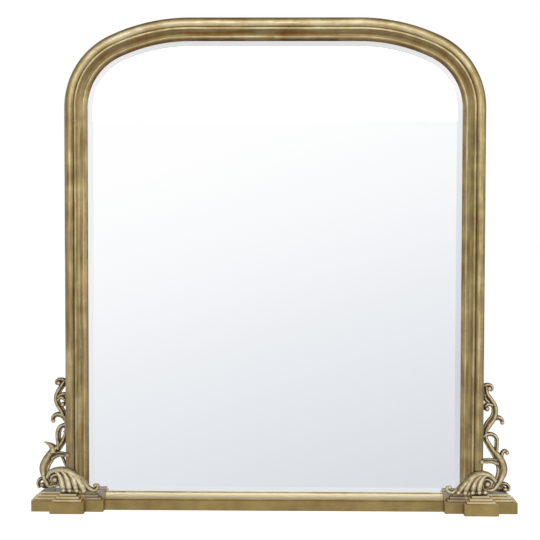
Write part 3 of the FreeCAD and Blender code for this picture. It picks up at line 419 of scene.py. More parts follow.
@dataclass(frozen=True)
class BoardGilding(Gilding):
    """Gilding on flat boards: broad smudges, slopes painted paler as highlight, dusting with painted shade on
    the platform, and a darker grey by the glass.
    """

    gold: str = "#BCA264"
    olive: str = "#9B8350"
    streak_width_mm: float = 34.0
    cloud_mm: float = 110.0
    unevenness: float = 0.15
    hollow_mm: float = 2.0
    resting_tone: float = 0.40
    # Upward slopes are painted paler as highlight; the middle value leaves a face unchanged
    upward_painted_light: Shares = ((0.06, 0.54), (0.26, 0.0), (0.85, 0.0), (0.97, 0.35))
    # Dusting colour, which also paints shade on the platform under the leaf
    dust: str = "#6B5F62"
    platform_mm: float = 45.8
    inner_wing_mm: float = 0.0
    no_painted_light: float = 0.5
    # Share of the darker grey towards the glass
    thin_dust: float = 0.6
    patch_mm: float = 20.0
    patch_range: tuple[float, float] = (0.3, 0.6)
    cover: tuple[float, float] = (0.6, 0.95)

    def tone(self, tree: Tree, place: Socket) -> Socket:
        """Paint the boards paler or darker by how far they face up, as painted highlight on upward slopes.

        Args:
            tree: node tree of the material.
            place: position on the piece, in metres.

        Returns:
            The tone with the painted highlight added.
        """
        near = super().tone(tree, place)
        shape = add_node(tree, "ShaderNodeNewGeometry")
        facing = add_node(tree, "ShaderNodeSeparateXYZ", links={0: shape.outputs["Normal"]})
        painted_light_by_facing = add_node(tree, "ShaderNodeValToRGB", {"stops": self.upward_painted_light}, {"Fac": facing.outputs["Z"]})
        eased = add_node(tree, "ShaderNodeMath", {"operation": "SUBTRACT", 1: self.no_painted_light},
                         {0: painted_light_by_facing.outputs["Color"]})
        return add_node(tree, "ShaderNodeMath", {"operation": "ADD"},
                        {0: near, 1: eased.outputs[0]}).outputs[0]

    def paint(self, tree: Tree, shader: Node, place: Socket) -> None:
        """Add dusting with painted shade on the platform, and a darker grey by the glass, over the gilding.

        Args:
            tree: node tree of the material.
            shader: its surface shader.
            place: position on the piece, in metres.
        """
        super().paint(tree, shader, place)
        gilt = shader.inputs["Base Color"].links[0].from_socket
        parts = add_node(tree, "ShaderNodeSeparateXYZ", links={0: place})
        # Dusting and painted shade on the platform
        on_top = add_node(tree, "ShaderNodeMath", {"operation": "GREATER_THAN", 1: self.platform_mm * MM},
                          {0: parts.outputs["Z"]})
        sideways = add_node(tree, "ShaderNodeMath", {"operation": "ABSOLUTE"}, {0: parts.outputs["X"]})
        # Darker grey towards the glass
        by_glass = add_node(tree, "ShaderNodeMath", {"operation": "LESS_THAN", 1: self.inner_wing_mm * MM},
                            {0: sideways.outputs[0]})
        glass_side_grey = add_node(tree, "ShaderNodeMath", {"operation": "MULTIPLY", 1: self.thin_dust},
                        {0: by_glass.outputs[0]})
        dust_and_shade_mask = add_node(tree, "ShaderNodeMath", {"operation": "MAXIMUM"},
                           {0: on_top.outputs[0], 1: glass_side_grey.outputs[0]})
        patches = add_node(tree, "ShaderNodeTexNoise", {"Scale": 1 / (self.patch_mm * MM), "Detail": 4.0},
                           {"Vector": place})
        cover = add_node(tree, "ShaderNodeMapRange",
                         {"From Min": self.patch_range[0], "From Max": self.patch_range[1],
                          "To Min": self.cover[0], "To Max": self.cover[1]},
                         {"Value": patches.outputs["Fac"]})
        amount = add_node(tree, "ShaderNodeMath", {"operation": "MULTIPLY"},
                          {0: dust_and_shade_mask.outputs[0], 1: cover.outputs[0]})
        dust_and_shade_mix = add_node(tree, "ShaderNodeMix", {"data_type": "RGBA", 7: linear(self.dust)},
                         {0: amount.outputs[0], 6: gilt})
        tree.links.new(dust_and_shade_mix.outputs[2], shader.inputs["Base Color"])


@dataclass(frozen=True)
class StepGilding(BoardGilding):
    """Gilding on the plinth's steps: risers rubbed pale with painted highlight, and painted shade in the
    corners between them.
    """

    # Pale as if lit from the front, with painted shade in the corners from ambient occlusion
    resting_tone: float = 0.06
    hollow_mm: float = 2.6
    upward_painted_light: Shares = ((0.1, 0.5), (0.9, 0.56))
    inner_wing_mm: float = 484.0


@dataclass(frozen=True)
class CarvedGilding(Gilding):
    """Gilding on cast resin: rubbed crests with painted highlight, glaze with painted shade in every hollow,
    and painted shade on the sides that don't face forward.
    """

    pale: str = "#EFE3C0"
    gold: str = "#C3AE7D"
    olive: str = "#978565"
    bronze: str = "#75603F"
    umber: str = "#46352A"
    streak_width_mm: float = 9.0
    unevenness: float = 0.3
    hollow_mm: float = 10.0
    resting_tone: float = 0.12
    # Faces turned away from the front are painted darker as shade
    front_facing: tuple[float, float] = (-0.85, -0.15)
    side_painted_shade: float = 0.4
    # Pointiness paints crests pale as highlight and creases dark as shade
    crest_to_crease: tuple[float, float] = (0.53, 0.47)
    crease_shade_and_crest_highlight: tuple[float, float] = (-0.4, 0.55)

    def tone(self, tree: Tree, place: Socket) -> Socket:
        """Paint shade into hollows, creases and what doesn't face forward, and paint highlights on crests.

        Args:
            tree: node tree of the material.
            place: position on the piece, in metres.

        Returns:
            The tone of the carving.
        """
        near = super().tone(tree, place)
        shape = add_node(tree, "ShaderNodeNewGeometry")
        facing = add_node(tree, "ShaderNodeSeparateXYZ", links={0: shape.outputs["Normal"]})
        # Painted shade on faces that turn away from the front
        aside = add_node(tree, "ShaderNodeMapRange",
                         {"From Min": self.front_facing[0], "From Max": self.front_facing[1],
                          "To Max": self.side_painted_shade},
                         {"Value": facing.outputs["Y"]})
        side_shaded = add_node(tree, "ShaderNodeMath", {"operation": "ADD"}, {0: near, 1: aside.outputs[0]})
        # Painted highlight on crests and painted shade in creases
        fine = add_node(tree, "ShaderNodeMapRange",
                        {"From Min": self.crest_to_crease[0], "From Max": self.crest_to_crease[1],
                         "To Min": self.crease_shade_and_crest_highlight[0], "To Max": self.crease_shade_and_crest_highlight[1]},
                        {"Value": shape.outputs["Pointiness"]})
        return add_node(tree, "ShaderNodeMath", {"operation": "ADD", "use_clamp": True},
                        {0: side_shaded.outputs[0], 1: fine.outputs[0]}).outputs[0]


@dataclass(frozen=True)
class SilveredGlass(Finish):
    """Float glass silvered on its back: a clear reflection with a faint wiping haze."""

    silver: str = "#FEFEFE"
    haze_mm: float = 90.0
    gloss: tuple[float, float] = (0.005, 0.02)

    def paint(self, tree: Tree, shader: Node, place: Socket) -> None:
        """Add silver and haze.

        Args:
            tree: node tree of the material.
            shader: its surface shader.
            place: position on the piece, in metres.
        """
        shader.inputs["Base Color"].default_value = linear(self.silver)
        shader.inputs["Metallic"].default_value = 1.0
        haze = add_node(tree, "ShaderNodeTexNoise", {"Scale": 1 / (self.haze_mm * MM), "Detail": 3.0},
                        {"Vector": place})
        gloss = add_node(tree, "ShaderNodeMapRange", {"To Min": self.gloss[0], "To Max": self.gloss[1]},
                         {"Value": haze.outputs["Fac"]})
        tree.links.new(gloss.outputs[0], shader.inputs["Roughness"])


@dataclass(frozen=True)
class Mottled(Finish):
    """A surface of two mingled tones, such as pressed fibre, felt, rubber or rolled steel."""

    dark: str = "#7A5C3D"
    light: str = "#9C7B55"
    speck_mm: float = 2.0
    stretch: tuple[float, float, float] = (1.0, 1.0, 1.0)
    metallic: float = 0.0
    roughness: tuple[float, float] = (0.6, 0.8)
    relief_mm: float = 0.1
    sheen: float = 0.0
    relief_strength: float = 0.4
    speck_range: tuple[float, float] = (0.32, 0.68)

    def paint(self, tree: Tree, shader: Node, place: Socket) -> None:
        """Add tones, gloss and fine relief.

        Args:
            tree: node tree of the material.
            shader: its surface shader.
            place: position on the piece, in metres.
        """
        shader.inputs["Metallic"].default_value = self.metallic
        shader.inputs["Sheen Weight"].default_value = self.sheen
        laid = add_node(tree, "ShaderNodeMapping", {"Scale": self.stretch}, {"Vector": place})
        specks = add_node(tree, "ShaderNodeTexNoise",
                          {"Scale": 1 / (self.speck_mm * MM), "Detail": 6.0, "Roughness": 0.65},
                          {"Vector": laid.outputs[0]})
        tones = add_node(tree, "ShaderNodeValToRGB",
                         {"stops": tuple(zip(self.speck_range, (self.dark, self.light)))},
                         {"Fac": specks.outputs["Fac"]})
        tree.links.new(tones.outputs["Color"], shader.inputs["Base Color"])
        gloss = add_node(tree, "ShaderNodeMapRange",
                         {"To Min": self.roughness[0], "To Max": self.roughness[1]},
                         {"Value": specks.outputs["Fac"]})
        tree.links.new(gloss.outputs[0], shader.inputs["Roughness"])
        bump = add_node(tree, "ShaderNodeBump",
                        {"Strength": self.relief_strength, "Distance": self.relief_mm * MM},
                        {"Height": specks.outputs["Fac"]})
        tree.links.new(bump.outputs[0], shader.inputs["Normal"])


MOULDING_GOLD = MouldingGilding("gilded_gesso_moulding")
BOARD_GOLD = BoardGilding("gilded_gesso_boards")
STEP_GOLD = StepGilding("gilded_gesso_steps")
LEAF_GOLD = CarvedGilding("gilded_cast_resin_leaves")
# The pierced scrolls stand further back and are given a darker resting tone
SCROLL_GOLD = CarvedGilding("gilded_cast_resin_scrolls", resting_tone=0.28)
SILVERED_GLASS = SilveredGlass("silvered_float_glass")
# Wet-pressed board: brown fibres, smooth and dull; its flecks are drawn coarse enough to show
FIBREBOARD = Mottled("pressed_fibreboard", "#664A30", "#987551", speck_mm=5.0, stretch=(1.0, 1.0, 0.7),
                     roughness=(0.55, 0.75))
# Needled wool felt: soft grey fuzz
WOOL_FELT = Mottled("needled_wool_felt", "#5C5E61", "#85878A", speck_mm=1.2, roughness=(0.9, 1.0),
                    relief_mm=0.4, sheen=0.4)
# Zinc-plated steel: cool grey, faint rolling lines
ZINC_STEEL = Mottled("zinc_plated_steel", "#A9ADB1", "#D2D5D8", speck_mm=0.8, stretch=(1.0, 1.0, 0.15),
                     metallic=1.0, roughness=(0.28, 0.42), relief_mm=0.02)
# Moulded rubber: near black, dull
BLACK_RUBBER = Mottled("moulded_rubber", "#161617", "#252527", speck_mm=1.0, roughness=(0.7, 0.9),
                       relief_mm=0.05)
# Turned beech: pink-brown with short dark rays along the dowel
BEECH = Mottled("turned_beech", "#B98D5F", "#DDBB90", speck_mm=1.0, stretch=(1.0, 1.0, 0.1),
                roughness=(0.5, 0.65))


@dataclass
class ArchedFrame:
    """Stiles, arched corners and rails."""

    moulded: tuple[str, ...] = ("stile_left", "stile_right", "arch_corner_left", "arch_corner_right",
                                "top_rail")
    square: tuple[str, ...] = ("base_rail",)

    def dress(self) -> None:
        """Gild the members."""
        MOULDING_GOLD.dress(*self.moulded)
        BOARD_GOLD.dress(*self.square)


@dataclass
class Plinth:
    """Four stepped boards under one stile."""

    side: Side
    slab: str = "plinth_slab"
    steps: tuple[str, ...] = ("plinth_lower_step", "plinth_upper_step", "plinth_cap")

    def dress(self) -> None:
        """Gild the slab and the steps."""
        BOARD_GOLD.dress(f"{self.slab}_{self.side.word}")
        STEP_GOLD.dress(*(f"{step}_{self.side.word}" for step in self.steps))


@dataclass
class GlassPack:
    """Mirror plate, its bedding and its back."""

    def dress(self) -> None:
        """Finish plate, felt, board, blocks and screws."""
        SILVERED_GLASS.dress("mirror_plate")
        WOOL_FELT.dress("backing_felt")
        FIBREBOARD.dress("backboard")
        BLACK_RUBBER.dress("setting_blocks")
        ZINC_STEEL.dress("backboard_screws")


@dataclass
class Hanging:
    """Hanger straps, rings and wall bumpers."""

    def dress(self) -> None:
        """Finish steel and rubber."""
        ZINC_STEEL.dress("hanger_strap_left", "hanger_strap_right", "d_ring_left", "d_ring_right",
                         "hanger_screws")
        BLACK_RUBBER.dress("wall_bumpers")


@dataclass
class Fixings:
    """Dowels and pins inside the joints."""

    def dress(self) -> None:
        """Finish wood and steel."""
        BEECH.dress("spring_dowels", "foot_dowels", "rail_dowels")
        ZINC_STEEL.dress("scroll_pins", "cap_pins")


def spiral(centre: tuple[float, float], radii: tuple[float, float], start: float, sweep: float,
           widths: tuple[float, float], depth: float) -> list[tuple[float, float, float, float]]:
    """Wind a volute.

    Args:
        centre: outward and height of its middle, in millimetres.
        radii: first and last radius.
        start: first angle in degrees.
        sweep: angle turned through.
        widths: first and last width of the band.
        depth: distance in front of the frame's back.

    Returns:
        Points as outward, height, width and depth.
    """
    points = []
    for step in range(VOLUTE_STEPS + 1):
        share = step / VOLUTE_STEPS
        radius = radii[0] + (radii[1] - radii[0]) * share
        angle = math.radians(start + sweep * share)
        points.append((centre[0] + radius * math.cos(angle), centre[1] + radius * math.sin(angle),
                       widths[0] + (widths[1] - widths[0]) * share, depth))
    return points


@dataclass
class Band:
    """One carved stroke: points of outward, height, width and, where it leaves its plane, depth, in mm."""

    points: list[tuple[float, ...]]
    relief: Relief = Relief.FLUTED
    fullness: float = 1.2
    depth: float = 28.0
    curve_steps: int = 8

    def build(self) -> bpy.types.Object:
        """Sweep the relief along the stroke.

        Returns:
            A mesh drawn flat, with outward along X, height along Y and forward along Z.
        """
        bpy.ops.object.select_all(action="DESELECT")
        bpy.ops.curve.primitive_bezier_circle_add(radius=MM)
        outline = bpy.context.object
        section = outline.data
        section.splines.clear()
        edge = section.splines.new("POLY")
        edge.points.add(len(self.relief.value) - 1)
        for point, (across, forward) in zip(edge.points, self.relief.value):
            point.co = (across, forward * self.fullness, 0, 1)
        edge.use_cyclic_u = True
        bpy.ops.object.select_all(action="DESELECT")
        bpy.ops.curve.primitive_bezier_curve_add()
        stroke = bpy.context.object
        stroke.data.dimensions = "3D"
        stroke.data.twist_mode = "Z_UP"
        stroke.data.resolution_u = self.curve_steps
        stroke.data.bevel_mode = "OBJECT"
        stroke.data.bevel_object = outline
        stroke.data.use_fill_caps = True
        line = stroke.data.splines[0]
        line.bezier_points.add(len(self.points) - 2)
        for point, place in zip(line.bezier_points, self.points):
            outward, height, width = place[:3]
            depth = place[3] if len(place) > 3 else self.depth
            point.co = Vector((outward, height, depth)) * MM
            point.handle_left_type = "AUTO"
            point.handle_right_type = "AUTO"
            point.radius = width * MM
        bpy.ops.object.convert(target="MESH")
        bpy.data.objects.remove(outline)
        return bpy.context.object


@dataclass
class Casting:
    """A carved casting made of bands and round bosses."""

    node: str
    side: Side
    finish: CarvedGilding
    bands: list[Band]
    bosses: list[tuple[float, ...]]
    boss_depth: float = 31.0
    boss_segments: int = 24
    boss_rings: int = 14
    voxel_mm: float = 0.65
    soften_share: float = 0.5
    soften_rounds: int = 4
    stile_edge_mm: float = 533.5
    cap_mm: float = 46.0
    back_mm: float = 46.0

    def shapes(self) -> list[bpy.types.Object]:
        """Make the bands and bosses.

        Returns:
            Their meshes, drawn flat as a band is.
        """
        shapes = [band.build() for band in self.bands]
        for outward, height, radius, *forward in self.bosses:
            depth = forward[0] if forward else self.boss_depth
            bpy.ops.object.select_all(action="DESELECT")
            bpy.ops.mesh.primitive_uv_sphere_add(
                segments=self.boss_segments, ring_count=self.boss_rings, radius=radius * MM,
                location=Vector((outward, height, depth)) * MM)
            bpy.ops.object.transform_apply()
            shapes.append(bpy.context.object)
        return shapes

    def join(self, shapes: list[bpy.types.Object]) -> bpy.types.Object:
        """Join bands and bosses into one skin beside the stile, cut level with the cap.

        Args:
            shapes: meshes drawn flat.

        Returns:
            The skin's outer shell.
        """
        bpy.ops.object.select_all(action="DESELECT")
        for shape in shapes:
            shape.select_set(True)
        bpy.context.view_layer.objects.active = shapes[0]
        bpy.ops.object.join()
        joined = bpy.context.object
        hand = self.side.value
        stand = Matrix(((hand, 0, 0, hand * self.stile_edge_mm * MM), (0, 0, -1, self.back_mm * MM),
                        (0, 1, 0, self.cap_mm * MM), (0, 0, 0, 1)))
        joined.data.transform(stand)
        skin = joined.modifiers.new("skin", "REMESH")
        skin.mode = "VOXEL"
        skin.voxel_size = self.voxel_mm * MM
        soften = joined.modifiers.new("soften", "SMOOTH")
        soften.factor = self.soften_share
        soften.iterations = self.soften_rounds
        for modifier in list(joined.modifiers):
            bpy.ops.object.modifier_apply(modifier=modifier.name)
        bpy.ops.object.mode_set(mode="EDIT")
        bpy.ops.mesh.select_all(action="SELECT")
        bpy.ops.mesh.bisect(plane_co=(0, 0, self.cap_mm * MM), plane_no=(0, 0, 1), use_fill=True,
                            clear_inner=True)
        bpy.ops.mesh.select_all(action="SELECT")
        bpy.ops.mesh.normals_make_consistent(inside=False)
        bpy.ops.mesh.separate(type="LOOSE")
        bpy.ops.object.mode_set(mode="OBJECT")
        shells = sorted(bpy.context.selected_objects, key=lambda shell: len(shell.data.polygons))
        outer = shells.pop()
        for shell in shells:
            bpy.data.objects.remove(shell)
        bpy.context.view_layer.objects.active = outer
        bpy.ops.object.shade_smooth()
        return outer

    def build(self) -> bpy.types.Object:
        """Carve the casting in place of its CAD node.

        Returns:
            The finished carving.
        """
        carving = self.join(self.shapes())
        carving.name = f"carved_{self.node}_{self.side.word}"
        # Kept out of reflections, so that the plate shows the room alone
        carving.visible_glossy = False
        carving.data.materials.clear()
        carving.data.materials.append(self.finish.material())
        node = f"{self.node}_{self.side.word}"
        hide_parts(node)
        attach(carving, FRAME_BODY)
        LOG.info("%s: %d faces in place of %s", carving.name, len(carving.data.polygons), node)
        return carving


Drawing = tuple[list[Band], list[tuple[float, ...]]]


def left_drawings() -> list[Drawing]:
    """Draw the left carving, outward from the stile and up from the cap.

    Returns:
        Bands and bosses of the upper scroll, the lower scroll and the acanthus leaf.
    """
    upper = [
        Band([(1, 281, 13), (11, 266, 14), (20, 251, 14), (24, 236, 14), (20, 221, 14), (8, 201, 14),
              (1, 187, 13), (-1, 176, 12), (-1, 165, 11)]),
        Band([(-1, 280, 13), (11, 284, 11), (20, 283, 10), (24, 277, 9), (20, 272, 8)]),
        Band([(-1, 247, 11), (10, 246, 10), (21, 239, 10)]),
        Band([(22, 231, 11), (15, 238, 10), (7, 237, 10), (1, 229, 9), (4, 221, 8)], Relief.RIDGED),
        Band([(0, 184, 15), (12, 193, 14), (23, 194, 13), (32, 188, 11), (34, 178, 10)]),
    ]
    upper_bosses = [(18, 276, 6.5), (7, 221, 6.5), (32, 179, 5.5)]
    lower = [
        Band([(-1, 168, 11), (-1, 150, 13), (4, 133, 13), (14, 116, 16), (33, 97, 24), (46.5, 78, 27, 30),
              (55, 59, 26, 33), (53, 41, 22, 37), (46, 24, 17, 43), (37, 15, 13, 50)]
             + spiral((23, 32), (14, 6), -75, -470, (12, 7), 55), Relief.FLUTED, 0.9),
        Band([(0, 167, 11), (10, 165, 12), (18, 156, 14), (20.5, 140, 14), (18.5, 120, 14), (19, 105, 14)]),
        Band([(34, 97, 24), (34, 107, 19), (38.5, 114, 13), (46, 119, 8), (52, 122, 5), (57, 124, 2.5)],
             Relief.RIDGED),
        Band([(36, 84, 16, 31), (24, 91, 14, 33), (12, 94, 13, 39), (0, 94, 12, 47), (-8, 94, 10, 54)],
             Relief.FLUTED),
        Band([(10, 87, 8, 30), (4, 72, 8, 30), (-3, 58, 8, 30)], Relief.RIDGED),
        Band([(46, 20, 10), (53, 27, 10), (61, 29, 10), (69, 25, 10), (72, 15, 10), (68, 5, 10)]),
        Band([(38, 20, 16, 24), (52, 12, 18, 24), (64, 10, 14, 24)], Relief.RIDGED, 0.5),
    ]
    lower_bosses = [(23, 32, 7.5, 58), (23, 32, 13, 46), (-8, 94, 6.5, 55), (61, 13, 6.5, 31)]
    leaf = [
        Band([(46, 34, 10, 46), (40, 44, 13, 48), (31, 52, 15, 50), (17, 55, 17, 52), (1, 55, 18, 54),
              (-14, 50, 20, 55), (-33, 37, 20, 56), (-50, 22, 17, 57), (-66, 9, 12, 57), (-77, 6, 11, 56),
              (-84, 11, 10, 57), (-85, 18, 9, 58), (-79, 20, 7, 58)], Relief.RIDGED, 1.0),
        Band([(23, 53, 5, 58), (14.5, 47, 9, 60), (8, 36, 15, 61), (4, 21, 16, 64), (0, 6, 14, 66)],
             Relief.RIDGED, 0.75),
        Band([(10, 57, 5, 59.5), (-1, 47, 11, 61), (-8, 33, 17, 62), (-13, 17, 17, 65), (-16, 5, 14, 67)],
             Relief.RIDGED, 0.75),
        Band([(-4, 55, 5, 60), (-15, 46, 11, 61), (-23, 37, 16, 62), (-28, 24, 17, 65), (-33, 5, 14, 67)],
             Relief.RIDGED, 0.75),
        Band([(-18, 49, 6, 61), (-29, 39, 12, 61), (-38, 29, 18, 62), (-45, 17, 20, 63), (-51, 5, 16, 65)],
             Relief.RIDGED, 0.9),
        Band([(20, 46, 12, 54), (0, 30, 44, 58), (-26, 20, 44, 60), (-48, 12, 26, 60), (-64, 7, 12, 58)],
             Relief.RIDGED, 0.3),
        Band([(8, 6, 14, 62), (-16, 4, 16, 64), (-36, 4, 16, 64), (-56, 4, 12, 62)], Relief.RIDGED, 0.9),
    ]
    leaf_bosses = [(-79, 18, 5.5, 58), (0, 6, 7, 67), (-16, 6, 7, 68), (-33, 6, 7, 68), (-51, 6, 7, 66)]
    return [(upper, upper_bosses), (lower, lower_bosses), (leaf, leaf_bosses)]


def right_drawings() -> list[Drawing]:
    """Draw the right carving, which isn't the left one mirrored.

    Returns:
        Bands and bosses of the upper scroll, the lower scroll and the acanthus leaf.
    """
    upper = [
        Band([(5, 271, 12), (8, 253, 13), (17, 239, 14), (26.5, 224, 15), (29.5, 208, 16), (26, 192, 17),
              (15, 176, 19), (8, 164, 17)]),
        Band([(1, 272, 12), (12, 275, 11), (20, 271, 10), (21, 264, 9), (16, 261, 8)]),
        Band([(1, 252, 10), (4, 239, 10), (14, 230, 10)]),
        Band([(24, 223, 12), (14, 226, 11), (5, 220, 10), (6, 211, 9)], Relief.RIDGED),
        Band([(25, 189, 14), (38, 191, 13), (46, 187, 11), (49, 178, 10)]),
    ]
    upper_bosses = [(14, 266, 6.5), (9, 214, 6.5), (48, 179, 5.5)]
    lower = [
        Band([(8, 166, 17), (5, 152, 13), (6, 139, 13), (13, 124, 14), (24, 107, 16), (36, 92, 22),
              (45, 75, 27, 30), (48.5, 57, 27, 33), (43.5, 41, 23, 37), (34, 25, 18, 43), (22, 13, 13, 50)]
             + spiral((7, 26), (14, 6), -80, -470, (12, 7), 55), Relief.FLUTED, 0.9),
        Band([(1, 141, 11), (11, 148, 11), (23, 148, 11), (33, 140, 11), (35, 126, 11), (34, 113, 11),
              (33, 100, 12)]),
        Band([(45, 84, 14), (48, 97, 11), (54, 106, 10), (62, 104, 9)], Relief.RIDGED),
        Band([(38, 76, 16, 31), (22, 81, 13, 33), (8, 82, 13, 39), (-1, 83, 11, 47), (-7, 82, 9, 54)],
             Relief.FLUTED),
        Band([(32, 24, 10), (42, 20, 10), (51, 22, 10), (61, 19, 10), (66, 12, 10), (64, 3, 10)]),
        Band([(26, 18, 16, 24), (42, 10, 18, 24), (56, 7, 14, 24)], Relief.RIDGED, 0.5),
    ]
    lower_bosses = [(7, 26, 7.5, 58), (7, 26, 13, 46), (-7, 82, 6, 55), (61, 102, 5.5, 31), (57, 7, 6.5, 31)]
    leaf = [
        Band([(30, 30, 10, 46), (22, 39, 13, 48), (13, 46, 15, 50), (1, 50, 17, 52), (-9, 51, 18, 54),
              (-22, 47, 20, 55), (-37, 37, 20, 56), (-53, 24, 17, 57), (-68, 12, 12, 57), (-82, 5, 11, 56),
              (-91, 8, 10, 57), (-94, 16, 9, 58), (-88, 20, 7, 58)], Relief.RIDGED, 1.0),
        Band([(6, 49, 5, 58), (-2, 44, 9, 60), (-9, 35, 15, 61), (-14, 21, 16, 64), (-15, 6, 14, 66)],
             Relief.RIDGED, 0.75),
        Band([(-5, 52, 5, 59.5), (-14, 43, 11, 61), (-23, 32, 16, 62), (-29, 18, 17, 65), (-31, 5, 14, 67)],
             Relief.RIDGED, 0.75),
        Band([(-16, 50, 5, 60), (-27, 42, 11, 61), (-37, 32, 16, 62), (-45, 18, 17, 65), (-50, 5, 14, 67)],
             Relief.RIDGED, 0.75),
        Band([(-28, 45, 6, 61), (-40, 35, 11, 61), (-50, 26, 15, 62), (-59, 15, 16, 63), (-66, 5, 13, 65)],
             Relief.RIDGED, 0.9),
        Band([(4, 42, 12, 54), (-16, 28, 44, 58), (-38, 18, 44, 60), (-58, 11, 24, 60), (-72, 7, 12, 58)],
             Relief.RIDGED, 0.3),
        Band([(4, 6, 14, 62), (-22, 4, 16, 64), (-46, 4, 16, 64), (-68, 4, 12, 62)], Relief.RIDGED, 0.9),
    ]
    leaf_bosses = [(-88, 18, 5.5, 58), (0, 6, 6.5, 67), (-15, 6, 7, 67), (-31, 6, 7, 68), (-50, 6, 7, 68),
                   (-66, 6, 6.5, 66)]
    return [(upper, upper_bosses), (lower, lower_bosses), (leaf, leaf_bosses)]


def castings(side: Side) -> list[Casting]:
    """Pair one side's drawings with their CAD nodes and finishes.

    Args:
        side: left or right.

    Returns:
        Upper scroll, lower scroll and acanthus leaf.
    """
    drawings = left_drawings() if side is Side.LEFT else right_drawings()
    kinds = (("upper_scroll", SCROLL_GOLD), ("lower_scroll", SCROLL_GOLD), ("acanthus_leaf", LEAF_GOLD))
    return [Casting(node, side, finish, bands, bosses)
            for (node, finish), (bands, bosses) in zip(kinds, drawings)]


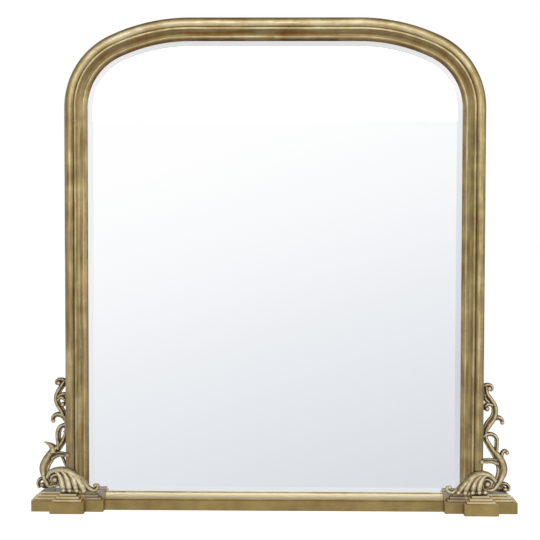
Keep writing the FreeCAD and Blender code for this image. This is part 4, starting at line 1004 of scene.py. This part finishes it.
@dataclass
class Studio:
    """White floor, soft lamps, surroundings and camera."""

    focal_px: float = 1259.0
    image_px: float = 540.0
    sensor_mm: float = 36.0
    eye_mm: tuple[float, float, float] = (41.0, -3183.0, 743.0)
    yaw: float = -0.933
    pitch: float = -2.332
    roll: float = 0.11
    softboxes: tuple = (
        ("front_softbox", (0.0, -3.4, 1.65), (2.4, 0.8), 20.0),
        ("top_softbox", (0.0, -1.5, 2.55), (2.2, 0.5), 7.0),
        ("side_softbox", (2.6, -1.6, 1.3), (1.2, 1.6), 14.0),
    )
    lit_middle: tuple[float, float, float] = (0.0, 0.0, 0.7)
    floor_size: float = 40.0
    floor_drop_mm: float = 0.2
    floor_grey: float = 0.5
    floor_shown: float = 0.86
    fall_way: tuple[float, float, float] = (-0.32, 0.0, 1.0)
    fall_range: tuple[float, float] = (-0.45, 0.09)
    front_shades: tuple[tuple[float, str], ...] = (
        (0.0, "#E7EBEE"), (0.2, "#E4E8EB"), (0.39, "#DADEE3"), (0.63, "#EAEDF1"), (0.82, "#F8F9FB"),
        (0.97, "#FFFFFF"),
    )
    side_shares: Shares = (
        (0.0, 0.62), (0.2, 0.66), (0.34, 0.92), (0.39, 1.0), (0.61, 1.0), (0.66, 0.92), (0.8, 0.6),
        (1.0, 0.55),
    )
    height_shares: Shares = (
        (0.0, 0.7), (0.25, 0.97), (0.32, 1.0), (0.59, 1.0), (0.65, 0.82), (0.75, 0.4), (1.0, 0.25),
    )
    soft_strength: float = 1.15

    def floor(self) -> None:
        """Lay a pale floor that keeps the object's shadow and stays out of reflections."""
        bpy.ops.object.select_all(action="DESELECT")
        bpy.ops.mesh.primitive_plane_add(size=self.floor_size, location=(0, 0, -self.floor_drop_mm * MM))
        floor = bpy.context.object
        floor.name = "studio_floor"
        material = bpy.data.materials.new("white_painted_floor")
        material.use_nodes = True
        tree = material.node_tree
        tree.nodes.clear()
        path = add_node(tree, "ShaderNodeLightPath")
        grey, pale = ((share, share, share, 1) for share in (self.floor_grey, self.floor_shown))
        paint = add_node(tree, "ShaderNodeBsdfDiffuse", {"Color": grey})
        glow = add_node(tree, "ShaderNodeEmission", {"Color": pale},
                        {"Strength": path.outputs["Is Camera Ray"]})
        lit = add_node(tree, "ShaderNodeAddShader", links={0: paint.outputs[0], 1: glow.outputs[0]})
        clear = add_node(tree, "ShaderNodeBsdfTransparent")
        seen = add_node(tree, "ShaderNodeMixShader",
                        links={0: path.outputs["Is Glossy Ray"], 1: lit.outputs[0], 2: clear.outputs[0]})
        add_node(tree, "ShaderNodeOutputMaterial", links={"Surface": seen.outputs[0]})
        floor.data.materials.append(material)

    def surroundings(self) -> None:
        """Set a white backdrop, and a room that falls off to pale blue for the light and the mirror."""
        world = bpy.data.worlds.new("studio")
        bpy.context.scene.world = world
        world.use_nodes = True
        tree = world.node_tree
        tree.nodes.clear()
        way = add_node(tree, "ShaderNodeTexCoord").outputs["Generated"]
        fall = add_node(tree, "ShaderNodeVectorMath", {"operation": "DOT_PRODUCT", 1: self.fall_way},
                        {0: way})
        share = add_node(tree, "ShaderNodeMapRange",
                         {"From Min": self.fall_range[0], "From Max": self.fall_range[1]},
                         {"Value": fall.outputs["Value"]})
        room = add_node(tree, "ShaderNodeValToRGB", {"stops": self.front_shades},
                        {"Fac": share.outputs[0]}).outputs["Color"]
        parts = add_node(tree, "ShaderNodeSeparateXYZ", links={0: way})
        for axis, shares in (("X", self.side_shares), ("Z", self.height_shares)):
            along = add_node(tree, "ShaderNodeMapRange", {"From Min": -1.0}, {"Value": parts.outputs[axis]})
            dimmed = add_node(tree, "ShaderNodeValToRGB", {"stops": shares}, {"Fac": along.outputs[0]})
            room = add_node(tree, "ShaderNodeMix", {"data_type": "RGBA", "blend_type": "MULTIPLY", 0: 1.0},
                            {6: room, 7: dimmed.outputs["Color"]}).outputs[2]
        path = add_node(tree, "ShaderNodeLightPath")
        soft = add_node(tree, "ShaderNodeBackground", {"Strength": self.soft_strength}, {"Color": room})
        shown = add_node(tree, "ShaderNodeBackground", links={"Color": room})
        white = add_node(tree, "ShaderNodeBackground", {"Color": (1, 1, 1, 1)})
        mirrored = add_node(tree, "ShaderNodeMixShader",
                            links={0: path.outputs["Is Glossy Ray"], 1: soft.outputs[0], 2: shown.outputs[0]})
        straight = add_node(tree, "ShaderNodeMath", {"operation": "MAXIMUM"},
                            {0: path.outputs["Is Camera Ray"], 1: path.outputs["Is Transmission Ray"]})
        seen = add_node(tree, "ShaderNodeMixShader",
                        links={0: straight.outputs[0], 1: mirrored.outputs[0], 2: white.outputs[0]})
        add_node(tree, "ShaderNodeOutputWorld", links={"Surface": seen.outputs[0]})

    def lamps(self) -> None:
        """Hang a softbox behind the camera, one above the front and one at the right."""
        for name, place, size, power in self.softboxes:
            bpy.ops.object.light_add(type="AREA", location=place)
            box = bpy.context.object
            box.name = name
            box.visible_camera = False
            box.data.shape = "RECTANGLE"
            box.data.size, box.data.size_y = size
            box.data.energy = power
            box.rotation_euler = (Vector(self.lit_middle) - Vector(place)).to_track_quat("-Z", "Y").to_euler()

    def camera(self) -> None:
        """Set the camera at the photograph's viewpoint."""
        yaw, pitch, roll = (math.radians(angle) for angle in (self.yaw, self.pitch, self.roll))
        ahead = Vector((math.sin(yaw) * math.cos(pitch), math.cos(yaw) * math.cos(pitch), math.sin(pitch)))
        level = Vector((math.cos(yaw), -math.sin(yaw), 0))
        upright = level.cross(ahead)
        right = level * math.cos(roll) + upright * math.sin(roll)
        up = upright * math.cos(roll) - level * math.sin(roll)
        bpy.ops.object.camera_add()
        camera = bpy.context.object
        camera.data.sensor_fit = "HORIZONTAL"
        camera.data.sensor_width = self.sensor_mm
        camera.data.lens = self.focal_px / self.image_px * self.sensor_mm
        turn = Matrix((right, up, -ahead)).transposed().to_4x4()
        camera.matrix_world = Matrix.Translation(Vector(self.eye_mm) * MM) @ turn
        bpy.context.scene.camera = camera

    def build(self) -> None:
        """Set up the studio."""
        bpy.context.scene.view_settings.view_transform = "Standard"
        self.camera()
        self.floor()
        self.surroundings()
        self.lamps()
        LOG.info("studio: camera, floor, surroundings and lamps")


def main() -> None:
    """Dress the frame and build the carvings in order."""
    logging.basicConfig(level=logging.INFO, format="%(name)s: %(message)s")
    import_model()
    bpy.ops.object.select_all(action="DESELECT")
    Studio().build()
    ArchedFrame().dress()
    GlassPack().dress()
    Hanging().dress()
    Fixings().dress()
    for side in Side:
        Plinth(side).dress()
        for casting in castings(side):
            casting.build()


if __name__ == "__main__":
    main()
